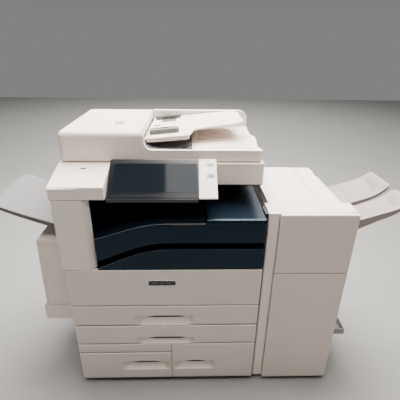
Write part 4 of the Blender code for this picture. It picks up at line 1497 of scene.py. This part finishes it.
def make_lip():
    """The edge that runs down from the cover and along the front of the output deck, in the lighter copy of
    the shell: a painted highlight.
    """
    radius = LIP_BEND[0] - LIP_X
    wide = 0.0062
    thick = 0.0042
    inner = [(LIP_X, 1.0765), *arc(LIP_BEND, radius, 180, 270, 14), (FEEDER_X[1], RIM_Z)]
    outer = [
        (FEEDER_X[1], RIM_Z + thick), *arc(LIP_BEND, radius - thick, 270, 180, 14), (LIP_X + thick, 1.0765),
    ]
    front = prism([*inner, *outer], "Y", (FEEDER_Y[0] + 0.0002, FEEDER_Y[0] + 0.0135), 0.0012, 3, 40.0)
    limit = soft_box(
        (0.29, 0.76), (FEEDER_Y[0], 0.2), (0.98, 1.0796), (0.001,) * 4, (0.0, 0.021, 0.0, 0.0), steps=9,
    )
    piece("feeder_lip", cut(front, [limit], "INTERSECT"), "shell_light", "adf_base")
    fill = [
        (LIP_X + 0.001, 1.046), *arc(LIP_BEND, radius + 0.0001, 182, 270, 14),
        (FEEDER_X[1] - 0.001, RIM_Z + 0.0001), (FEEDER_X[1] - 0.001, DECK_Z), (LIP_X + 0.001, DECK_Z),
    ]
    piece(
        "feeder_front_wall", prism(fill, "Y", (FEEDER_Y[0] + 0.0068, FEEDER_Y[0] + 0.0068 + wide), 0),
        "shell", "adf_base",
    )


def smooth(value, low, high):
    """0 below low, 1 above high, and an even S between them."""
    t = min(1.0, max(0.0, (value - low) / (high - low)))
    return t * t * (3 - 2 * t)


def hump(value, low, high, blur):
    """1 inside low to high and 0 outside, with a soft step, blur wide to each side, at both ends."""
    return smooth(value, low - blur, low + blur) * (1 - smooth(value, high - blur, high + blur))


def deck_height(x, y):
    """The output deck: a shallow dish with a raised middle at its right end and a hollow each side."""
    right = smooth(x, 0.6, 0.722)
    height = RIM_Z - 0.0055 * hump(y, 0.17, 0.548, 0.012) * hump(x, 0.36, 0.715, 0.016)
    height += 0.0085 * right * hump(y, 0.292, 0.35, 0.022)
    height -= 0.0095 * right * (hump(y, 0.205, 0.268, 0.018) + hump(y, 0.4, 0.528, 0.02))
    height += 0.006 * smooth(x, 0.45, 0.6) * (1 - right) * hump(y, 0.2, 0.5, 0.04)
    return height


def make_deck():
    """The feeder's scooped output deck, its ribs, and the throat that its sheets come out of."""
    grid = 60
    throat_top = 1.0112
    xs = steps_between(LIP_BEND[0] - 0.012, FEEDER_X[1] - 0.0006, grid)
    ys = steps_between(FEEDER_Y[0] + 0.0125, REAR_RIM_Y + 0.001, grid)
    top = [[(x, y, deck_height(x, y)) for y in ys] for x in xs]
    under = [[(x, y, DECK_Z + 0.0002) for y in ys] for x in xs]
    piece("output_deck", between(top, under), "shell", "adf_base")
    ribs = [
        wire([(x, y, deck_height(x, y) + 0.0002) for x in steps_between(0.5, 0.715, 24)], 0.0014)
        for y in steps_between(0.205, 0.515, 15)
    ]
    piece("output_deck_ribs", ribs, "shell", "adf_base")
    # The throat and its wall are dark slate: partly their own dark plastic, partly painted shade under the
    # input tray.
    throat = soften(
        [(0.323, 0.162), (0.448, 0.162), (0.478, 0.185), (0.47, 0.552), (0.323, 0.552)],
        [0.002, 0.02, 0.02, 0.01, 0.002],
    )
    piece("output_throat", prism(throat, "Z", (1.0005, throat_top), 0.0008), "slate", "adf_base")
    wall = [
        (0.3045, 1.0295), (0.3045, 1.0275), *arc(LIP_BEND, LIP_BEND[0] - 0.3045, 208, 268, 8),
        (0.35, throat_top), (0.35, 1.013), (0.33, 1.015),
    ]
    piece("output_throat_wall", prism(wall, "Y", (0.1585, 0.552), 0.0004), "slate", "adf_base")
    stop = prism(
        soften([(0.44, throat_top), (0.444, throat_top), (0.478, 1.025), (0.4765, 1.0285)], 0.001, 3), "Y",
        (0.176, 0.182), 0.0005,
    )
    piece("sheet_stop", stop, "black_plastic", "adf_base")


def make_feeder_cover():
    x, y, z = span("adf_cover")
    low = z[0] - 0.00042
    cover = soft_box(x, y, (low, z[1]), (0.026, 0.003, 0.01, 0.026), (0.021, 0.021, 0.009, 0.021), steps=9)
    inner = soft_box(within(x, 0.005, 0.004), within(y, 0.005), (low - 0.001, z[1] - 0.0035),
                     (0.02, 0.01, 0.008, 0.02), (0.019, 0.019, 0.008, 0.019), steps=5)
    form("adf_cover", cut(cover, [inner]))
    panel = prism(soften([(0.18, 0.256), (0.217, 0.256), (0.217, 0.318), (0.18, 0.318)], 0.002), "Z",
                  (z[1] - 0.0003, z[1] + 0.0003), 0.0001)
    piece("feeder_guide_label", panel, "printed_grey", "adf_cover")
    stroke = [(0.152, 0.252), (0.1535, 0.252), (0.16, 0.292), (0.1585, 0.292)]
    piece(
        "feeder_cover_mark", prism(stroke, "Z", (z[1] - 0.0003, z[1] + 0.0003), 0.0001), "printed_grey",
        "adf_cover",
    )
    ribs = [
        block((0.03, 0.27), (at, at + 0.002), within(z, 0.008, 0.003), 0.0004)
        for at in steps_between(0.175, 0.556, 11)
    ]
    piece("feeder_cover_ribs", ribs, "black_plastic", "adf_cover")
    rollers = [rod((0.236, 1.061), 0.0065, (at, at + 0.022)) for at in (0.3, 0.345, 0.39)]
    piece("feeder_pinch_rollers", rollers, "rubber", "adf_cover")


INPUT_AXIS = (0.308, 1.042)
INPUT_TILT = math.radians(6)
INPUT_T = 0.008
INPUT_OUTLINE = [
    (0.306, 0.185), (0.455, 0.174), (0.47, 0.184), (0.486, 0.265), (0.655, 0.29),
    (0.684, 0.32), (0.684, 0.51), (0.655, 0.548), (0.306, 0.552),
]


def tilt(mesh):
    """Turns a mesh that lies level at the input tray's height to the tray's slope."""
    there = Matrix.Translation((INPUT_AXIS[0], 0.0, INPUT_AXIS[1]))
    mesh.transform(there @ Matrix.Rotation(-INPUT_TILT, 4, "Y") @ there.inverted())
    return mesh


def make_input_tray():
    low, high = INPUT_AXIS[1] - INPUT_T / 2, INPUT_AXIS[1] + INPUT_T / 2
    corners = [0.003, 0.014, 0.018, 0.03, 0.03, 0.02, 0.025, 0.025, 0.003]
    groove = [
        block((0.44, 0.66), (at, at + 0.0016), (high - 0.001, high + 0.001), 0)
        for at in (0.33, 0.38, 0.43, 0.48)
    ]
    tray = cut(soft_plate(INPUT_OUTLINE, corners, (low, high), 0.0035), groove)
    form("adf_input_tray", tilt(tray))
    marks = [(0.466, 0.372), (0.43, 0.33), (0.585, 0.47), (0.64, 0.43)]
    dashes = [
        block((x, x + 0.014), (y, y + 0.0022), (high - 0.0003, high + 0.0003), 0.0001) for x, y in marks
    ]
    piece("input_tray_marks", tilt(joined(dashes)), "printed_grey", "adf_input_tray")
    skirt = [(0.31, 0.1865), (0.454, 0.1755), (0.467, 0.186), (0.47, 0.53), (0.31, 0.545)]
    under = soft_plate(skirt, [0.002, 0.014, 0.016, 0.01, 0.002], (low - 0.0095, low + 0.002), 0.003)
    piece("input_tray_skirt", tilt(under), "shell", "adf_input_tray")
    track = [slot_tool((0.346, 0.41), (a, b), 0.0025, "Z", (high - 0.0004, high + 0.0002))
             for a, b in ((0.2285, 0.325), (0.435, 0.532))]
    piece("guide_tracks", tilt(joined(track)), "guide_plastic", "adf_input_tray")
    centre = prism(
        soften(rectangle((0.322, 0.345), (0.372, 0.388)), 0.003), "Z", (high - 0.0003, high + 0.0016), 0.0006,
    )
    piece("feed_sensor_flag", tilt(centre), "black_plastic", "adf_input_tray")
    base = high + 0.0004
    for name, y in {"adf_guide_front": (0.225, 0.265), "adf_guide_rear": (0.495, 0.535)}.items():
        make_guide(name, y, base)


def make_guide(name, y, base):
    """A paper guide: a low oval-ended body with a finger dip and its dark pad."""
    x = (0.3185, 0.43)
    body = soft_box(x, y, (base, base + 0.0185), (0.008, 0.019, 0.019, 0.008), (0.007, 0.009, 0.009, 0.009))
    middle = (y[0] + y[1]) / 2
    grip = soft_box(
        (0.352, 0.392), (middle - 0.009, middle + 0.009), (base + 0.015, base + 0.03), (0.008,) * 4,
    )
    form(name, tilt(cut(body, [grip])))
    pad = soft_box(
        (0.3525, 0.3915), (middle - 0.0085, middle + 0.0085), (base + 0.0149, base + 0.0158), (0.008,) * 4,
        (0.0004,) * 4,
    )
    piece(f"{name}_pad", tilt(pad), "guide_dark", name)


def make_feeder_details():
    """Pad under the lid, rollers, hinges and the dark parts round the paper path."""
    pad = block((0.108, 0.652), (0.183, 0.547), (0.9695, 0.9718), 0.0008)
    piece("document_pad", pad, "foam_white", "adf_base")
    piece(
        "feed_scan_plate", block((0.058, 0.09), (0.185, 0.545), (0.9697, 0.9719), 0.0005), "black_plastic",
        "adf_base",
    )
    x, y, z = span("adf_feed_roller")
    middle = middle_of(x, z)
    radius = (x[1] - x[0]) / 2
    ends = [
        rod(middle, radius, (y[0] + u, y[0] + u + 0.034), edge=0.001, steps=40)
        for u in (0.002, 0.058, 0.114)
    ]
    core = rod(middle, radius * 0.55, y, edge=0.001)
    form("adf_feed_roller", joined([*ends, core]))
    shaft = [rod(middle, 0.004, (0.16, y[0])), rod(middle, 0.004, (y[1], 0.575))]
    piece("feed_roller_shaft", shaft, "steel", "adf_feed_roller")
    floor = block((0.0105, 0.2915), (0.1525, 0.5815), (0.9853, 0.9875), 0.0005)
    piece("feeder_floor", floor, "black_plastic", "adf_base")
    path = [
        block((at, at + 0.003), (0.165, 0.57), (0.9876, 1.008), 0.0008)
        for at in steps_between(0.04, 0.22, 7)
    ]
    piece("feeder_path_ribs", path, "black_plastic", "adf_base")
    piece(
        "feed_mouth_lining", block((0.303, 0.3042), (0.192, 0.548), (1.03, 1.0375), 0.0004), "black_plastic",
        "adf_base",
    )
    for name, at in {"left": 0.11, "right": 0.59}.items():
        leaf = block((at, at + 0.06), (0.5905, 0.5975), (0.978, 1.02), 0.0015)
        barrel = rod((0.598, 0.985), 0.0065, (at, at + 0.06), "X")
        piece(f"feeder_hinge_{name}", [leaf, barrel], "black_plastic", "adf_base")
        foot = block((at - 0.006, at + 0.066), (0.6055, 0.6225), (0.962, 0.984), 0.002)
        piece(f"feeder_hinge_foot_{name}", foot, "black_plastic", "scanner_housing")


# ---------------------------------------------------------------- left side
LEFT_DOOR_Y = (0.1, 0.53)
LEFT_HINGE = (-0.012, 0.529)
LEFT_TRAY_PATH = [(-0.0005, 0.716), (-0.068, 0.742), (-0.15, 0.771), (-0.225, 0.801), (-0.2695, 0.823)]


def along_path(path, count):
    """Evenly spread points on a smooth curve through the path's points, each with its own direction."""
    padded = [
        2 * Vector(path[0]) - Vector(path[1]), *map(Vector, path), 2 * Vector(path[-1]) - Vector(path[-2]),
    ]
    points = []
    for step in range(count):
        at = step / (count - 1) * (len(path) - 1)
        i = min(int(at), len(path) - 2)
        t = at - i
        a, b, c, d = padded[i:i + 4]
        points.append(
            0.5 * (
                2 * b + (c - a) * t + (2 * a - 5 * b + 4 * c - d) * t * t + (3 * b - a - 3 * c + d) * t ** 3
            ),
        )
    return points


def ribbed_tray(path, y, thick, ribs, height, lip=0.004, round_end=0.02, count=40):
    """A tray that follows path in X and Z, with shallow ribs along it and raised side edges."""
    columns = ribs * 6 + 1
    top, under = [], []
    spine = along_path(path, count)
    for i, place in enumerate(spine):
        share = i / (count - 1)
        inset = round_end * max(0.0, (share - 0.88) / 0.12) ** 2
        row_top, row_under = [], []
        for j in range(columns):
            across = j / (columns - 1)
            at = y[0] + inset + (y[1] - y[0] - 2 * inset) * across
            wave = height * 0.5 * (1 - math.cos(2 * math.pi * ribs * across)) * smooth(share, 0.02, 0.1)
            side = lip * (hump(across, -0.5, 0.012, 0.01) + hump(across, 0.988, 1.5, 0.01))
            fade = 1 - smooth(share, 0.93, 1.0)
            row_top.append((place.x, at, place.y - height + wave * fade + side * fade))
            row_under.append((place.x, at, place.y - thick(share)))
        top.append(row_top)
        under.append(row_under)
    return between(top, under)


def make_left_tray():
    # The left tray and its gussets use the darker grey: painted shade.
    tray = ribbed_tray(LEFT_TRAY_PATH, (0.11, 0.43), lambda t: 0.019 - 0.009 * t, 26, 0.0022)
    form("left_output_tray", tray, "side_tray_plastic")
    gussets = [
        prism(
            [(-0.0015, 0.708), (-0.0015, 0.697), (-0.12, 0.746), (-0.12, 0.75)], "Y", (at, at + 0.0025),
            0.0004,
        )
        for at in (0.15, 0.388)
    ]
    piece("left_tray_gussets", gussets, "side_tray_plastic", "left_output_tray")


def make_left_door():
    y = LEFT_DOOR_Y
    profile = [
        (-0.004, 0.356), (-0.133, 0.356), (-0.1324, 0.371), (-0.1199, 0.371), (-0.1095, 0.661),
        (-0.122, 0.661), (-0.122, 0.668), (-0.004, 0.668),
    ]
    shape = prism(
        soften(profile, [0.001, 0.004, 0.0005, 0.001, 0.001, 0.0005, 0.004, 0.002], 4), "Y", y, 0.003, 4,
        40.0,
    )
    cuts = [
        block((-0.1, -0.003), (0.104, 0.526), (0.362, 0.664), 0),
        block((-0.11, -0.02), into_low(y, 0.001), (0.648, 0.6494), 0),
        block((-0.062, -0.0606), right_through(y), (0.667, 0.669), 0),
    ]
    form("left_door", cut(shape, cuts))
    ribs = [
        block((-0.098, -0.0935), (at, at + 0.003), (0.364, 0.662), 0.0006)
        for at in steps_between(0.14, 0.48, 9)
    ]
    piece("left_door_guides", ribs, "black_plastic", "left_door")


def make_bypass():
    """The bypass tray, folded up in the left door, with its grip and inner slide."""
    axis, radius = (-0.1262, 0.3785), 0.0058
    flap = [*arc(axis, radius, 180, 360, 10), (-0.1104, 0.6602), (-0.122, 0.6602)]
    shape = prism(flap, "Y", LEFT_DOOR_Y, 0.002, 4, 40.0)
    recess = pocket((-0.13, -0.1195), (0.245, 0.385), (0.628, 0.6645))
    form("bypass_tray", cut(shape, [recess]))
    mesh = joined([block((-0.1172, -0.116), (0.165, 0.465), (0.42, 0.6), 0.0004)])
    slope = 0.0104 / 0.29
    for vertex in mesh.vertices:
        vertex.co.x += (vertex.co.z - 0.42) * slope + 0.0008
    piece("bypass_inner_slide", mesh, "tray_plastic", "bypass_tray")


def make_lower_left_door():
    low = span("lower_left_door")
    shape = prism(
        soften(rectangle(low[0], low[2]), [0.008, 0.001, 0.001, 0.004], 5), "Y", low[1], 0.003, 4, 40.0,
    )
    hollow = block((-0.141, -0.003), (0.104, 0.526), (0.28, 0.348), 0)
    grip = pocket((low[0][0] - 0.001, low[0][0] + 0.0035), (0.27, 0.36), (0.318, 0.34))
    form("lower_left_door", cut(shape, [hollow, grip]))
    mark = prism(
        [(-0.112, 0.32), (-0.104, 0.32), (-0.108, 0.313)], "Y", (low[1][0] - 0.0005, low[1][0] + 0.0004),
        0.0001,
    )
    piece("lower_left_door_mark", mark, "printed_grey", "lower_left_door")
    for name, z in {"upper": (0.376, 0.65), "lower": (0.282, 0.346)}.items():
        on = "left_door" if name == "upper" else "lower_left_door"
        pin = rod(LEFT_HINGE, 0.0025, z, "Z")
        piece(f"left_hinge_pin_{name}", pin, "steel", on)


def pocket(x, y, z):
    """A rounded pocket cutter."""
    return block(x, y, z, min(0.006, (x[1] - x[0]) * 0.4), 4)


# ---------------------------------------------------------------- finisher
STACKER_TRACKS = (0.155, 0.365)
EJECT_AXIS = (1.0265, 0.756)
DOOR_PIN = (1.056, 0.012)
PATH_Y = (0.12, 0.47)


def make_finisher():
    x, y, z = span("finisher_cabinet")
    shell = soft_box(x, y, z, (0.001, 0.001, 0.022, 0.006), (0.0, 0.0, 0.003, 0.003), (0.002,) * 4, 4)
    side = into_high(x, 0.0012)
    cuts = [
        block((0.765, 1.032), (0.098, 0.494), (0.036, 0.795), 0),
        block((0.7595, 0.954), (0.098, 0.498), (0.8025, 0.83), 0),
        block((0.964, 0.965), (0.098, 0.49), into_high(z, 0.0014), 0),
        block((0.755, 0.77), (0.11, 0.42), (0.7, 0.725), 0),
        slot_tool((0.11, 0.425), (0.75, 0.775), 0.003, "X", (1.028, 1.04)),
        block(side, (0.098, 0.51), (0.6, 0.6012), 0),
        block(side, (0.462, 0.4632), (0.02, 0.83), 0),
        *louvres(into_high(x, 0.003), (0.3, 0.42), (0.1, 0.16), 7, "X"),
    ]
    for at in STACKER_TRACKS:
        track = soften(rectangle((at, at + 0.012), (0.415, 0.742)), 0.005)
        cuts.append(prism(track, "X", into_high(x, 0.004), 0))
    rear = [
        block((0.76, 1.05), into_high(y, 0.0012), (at, at + 0.0014), 0) for at in (0.3, 0.62)
    ]
    vents = louvres((0.84, 0.96), into_high(y, 0.003), (0.1, 0.18), 9, "Y")
    form("finisher_cabinet", cut(shell, [*cuts, *rear, *vents]))
    screws("finisher_rear_screws", [(u, v) for u in (0.775, 1.01) for v in (0.06, 0.285, 0.64, 0.8)], "Y",
           y[1] - 0.0003, "finisher_cabinet", 0.003)
    for number, at in enumerate(STACKER_TRACKS, 1):
        rail = block((x[1] - 0.0038, x[1] - 0.0022), (at + 0.001, at + 0.011), (0.418, 0.739), 0.0004)
        piece(f"stacker_rail_{number}", rail, "black_plastic", "finisher_cabinet")
    latch = block((1.03, 1.0385), (0.385, 0.408), (0.8195, 0.8268), 0.0012)
    piece("finisher_latch", latch, "black_plastic", "finisher_cabinet")
    make_finisher_front()
    make_finisher_doors()
    make_finisher_top()
    make_finisher_inside()


def make_finisher_front():
    x, y, z = span("finisher_front_frame")
    pillar = 0.784
    footprint = [(x[0], 0.012), (pillar, 0.012), (pillar, 0.024), (x[1], 0.024), (x[1], y[1]), (x[0], y[1])]
    shape = prism(
        soften(footprint, [0.006, 0.003, 0.001, 0.001, 0.001, 0.001], 5), "Z", z, 0.0022, 3, 40.0,
        lambda edge: min(v.co.y for v in edge.verts) < 0.02 or min(v.co.z for v in edge.verts) > z[1] - 0.001,
    )
    cuts = [
        block((0.8, 1.04), (0.0, 0.099), (0.06, 0.79), 0),
        block((x[0] - 0.001, pillar + 0.001), (0.01, 0.0132), (0.5895, 0.591), 0),
        block(right_through(x), (0.0855, 0.0867), into_high(z, 0.0012), 0),
        block(right_through(x), (0.0365, 0.0383), into_high(z, 0.0018), 0),
    ]
    form("finisher_front_frame", cut(shape, cuts))
    strip = block((pillar + 0.0025, 1.038), (0.0207, 0.026), (0.812, z[1] - 0.0002), 0.0008)
    piece("finisher_frame_strip", strip, "shell", "finisher_front_frame")


def make_finisher_doors():
    for name in ("finisher_upper_door", "finisher_lower_door"):
        x, y, z = span(name)
        profile = [*arc((y[0] + 0.0045, z[1] - 0.0045), 0.0045, 90, 180, 6),
                   *arc((y[0] + 0.003, z[0] + 0.003), 0.003, 180, 270, 4), (y[1], z[0]), (y[1], z[1])]
        shape = prism(profile, "X", x, 0.003, 4, 40.0)
        recess = block(within(x, 0.01, 0.012), (0.015, 0.024), within(z, 0.012), 0)
        # The finisher doors use the darker copy of the shell: painted shade.
        form(name, cut(shape, [recess]), "shell_front")
        ribs = [
            block(within(x, 0.011, 0.013), (0.0151, 0.0192), (at, at + 0.0025), 0.0004)
            for at in steps_between(z[0] + 0.045, z[1] - 0.045, 3 if "upper" in name else 6)
        ]
        piece(f"{name}_ribs", ribs, "shell", name)
        magnet = block(
            (x[0] + 0.013, x[0] + 0.021), (0.0152, 0.0215),
            ((z[0] + z[1]) / 2 - 0.02, (z[0] + z[1]) / 2 + 0.02), 0.0008,
        )
        piece(f"{name}_magnet", magnet, "steel", name)
        pins = [rod(DOOR_PIN, 0.003, (z[0] - 0.0008, z[0] + 0.004), "Z"),
                rod(DOOR_PIN, 0.003, (z[1] - 0.004, z[1] + 0.0004), "Z")]
        piece(f"{name}_pins", pins, "steel", name)


def make_finisher_top():
    x, y, z = span("finisher_top_cover")
    shape = prism(
        soften(rectangle((x[0], x[1] - 0.0012), y), [0.001, 0.001, 0.004, 0.006], 5), "Z", z, 0.0012, 3, 40.0,
    )
    form("finisher_top_cover", shape)
    seam = block((x[1] - 0.001, x[1] + 0.0017), within(y, 0.001, 0.004), (z[1] - 0.006, z[1] - 0.0028), 0)
    piece("finisher_top_seam", seam, "black_plastic", "finisher_cabinet")
    ribs = [block(within(x, 0.02), (at, at + 0.002), (z[0] - 0.006, z[0]), 0.0005) for at in
            steps_between(0.14, 0.46, 7)]
    piece("finisher_top_ribs", ribs, "black_plastic", "finisher_top_cover")


def make_finisher_inside():
    """The paper path, stapler and waste box seen when the finisher's doors are open."""
    def add(name, mesh, look):
        piece(name, mesh, look, "finisher_cabinet")

    for number, (x, z) in enumerate(
        ((0.8, 0.712), (0.87, 0.735), (0.95, 0.755), (0.885, 0.56), (0.905, 0.33)), 1,
    ):
        shaft = rod((x, z), 0.004, (0.105, 0.48))
        add(f"path_shaft_{number}", shaft, "steel")
        tyres = [rod((x, z), 0.01, (at, at + 0.022)) for at in (0.15, 0.23, 0.31, 0.39)]
        add(f"path_rollers_{number}", tyres, "rubber")
    guide = prism([(0.775, 0.69), (0.99, 0.735), (0.99, 0.738), (0.775, 0.693)], "Y", PATH_Y, 0.0006)
    add("upper_path_guide", guide, "steel")
    guide = prism([(0.87, 0.06), (0.873, 0.06), (0.903, 0.66), (0.9, 0.66)], "Y", PATH_Y, 0.0006)
    add("lower_path_guide", guide, "steel")
    body = block((0.93, 1.015), (0.115, 0.2), (0.6, 0.665), 0.004)
    add("stapler_housing", body, "guide_plastic")
    add("stapler_cartridge", block((0.945, 1.000), (0.106, 0.116), (0.612, 0.65), 0.002), "lever_green")
    add("waste_box", block((0.785, 0.865), (0.11, 0.3), (0.075, 0.2), 0.004), "black_plastic")
    for number, (x, z) in enumerate(((0.835, 0.65), (0.945, 0.48), (0.945, 0.25)), 1):
        hub = rod((x, z), 0.013, (0.1, 0.108))
        arm = block((x - 0.005, x + 0.005), (0.0985, 0.104), (z - 0.034, z + 0.004), 0.0015)
        add(f"jam_lever_{number}", [hub, arm], "lever_green")
    for at in (0.13, 0.25, 0.37):
        belt = rod(EJECT_AXIS, 0.007, (at, at + 0.03))
        add(f"eject_roller_{round(at * 1000)}", belt, "rubber")
    add("eject_shaft", rod(EJECT_AXIS, 0.003, (0.112, 0.424)), "steel")


STACKER_PATH = [(1.0388, 0.73), (1.11, 0.752), (1.18, 0.775), (1.256, 0.802), (1.3045, 0.838)]


def make_stacker():
    """Two-lobed stacker tray: the lobes part at a hand slot and lift towards their rounded tips."""
    def thick(share):
        return 0.04 * (1 - share) ** 1.5 + 0.0145

    root_share = 0.4
    rows = 48
    spine = along_path(STACKER_PATH, rows)
    meshes = [stacker_lobe(spine, y, thick, rows) for y in ((0.2555, 0.43), (0.1, 0.2245))]
    meshes.append(stacker_lobe(spine, (0.224, 0.256), thick, int(rows * root_share)))
    form("stacker_tray", cut(meshes[0], meshes[1:], "UNION"), "stacker_plastic")
    plate = block((1.0388, 1.042), (0.102, 0.428), (0.694, 0.7285), 0.001)
    piece("stacker_back_plate", plate, "stacker_plastic", "stacker_tray")


def stacker_lobe(spine, y, thick, last):
    """One lobe of the stacker between two depths, over the first rows of its spine."""
    columns = 24
    top, under = [], []
    count = len(spine)
    whole = (0.1, 0.43)
    for i, place in enumerate(spine[:last]):
        share = i / (count - 1)
        end = max(0.0, (share - 0.9) / 0.1) if last == count else 0.0
        inset = 0.016 * (1 - math.sqrt(max(0.0, 1 - end * end)))
        row_top, row_under = [], []
        for j in range(columns + 1):
            across = j / columns
            at = y[0] + inset + (y[1] - y[0] - 2 * inset) * across
            dish = 0.01 * math.sin(
                math.pi * (at - whole[0]) / (whole[1] - whole[0])
            ) ** 2 * smooth(share, 0.05, 0.45)
            facet = 0.006 * hump(share, 0.45, 0.8, 0.05) * hump(
                across, 0.22, 0.78, 0.06,
            ) if last == count else 0.0
            droop = 0.004 * end * end
            row_top.append(
                (place.x, at, place.y - 0.0005 - dish * (1 - smooth(share, 0.55, 0.95)) - facet - droop)
            )
            row_under.append(
                (place.x, at, place.y - thick(share) - 0.004 * smooth(share, 0.0, 0.4) * (1 - share))
            )
        top.append(row_top)
        under.append(row_under)
    return between(top, under)


def make_booklet():
    """The folding booklet tray at the finisher's right side."""
    x, y, _ = span("booklet_tray")
    axis = (1.0545, 0.18)
    outline = [*arc(axis, 0.015, 90, 270, 14), (x[1], 0.165), (x[1], 0.195)]
    shape = prism(outline, "Y", y, 0.0035, 5, 40.0)
    hollow = block((1.075, 1.163), (0.108, 0.294), (0.171, 0.2), 0.002)
    form("booklet_tray", cut(shape, [hollow]))
    ribs = [
        block((1.078, 1.16), (at, at + 0.002), (0.1705, 0.1735), 0.0006)
        for at in steps_between(0.13, 0.27, 6)
    ]
    piece("booklet_ribs", ribs, "tray_plastic", "booklet_tray")
    brackets = [block((1.0375, 1.0392), (low, low + 0.012), (0.16, 0.205), 0.0006) for low in (0.108, 0.282)]
    piece("booklet_brackets", brackets, "steel", "finisher_cabinet")


# ---------------------------------------------------------------- the whole scene
add_camera()
add_studio()
make_frame()
make_side_covers()
make_rear()
make_column()
make_scanner()
make_output_bay()
make_front_door()
make_engine()
make_trays()
make_panel()
make_feeder()
make_left_tray()
make_left_door()
make_bypass()
make_lower_left_door()
make_finisher()
make_stacker()
make_booklet()
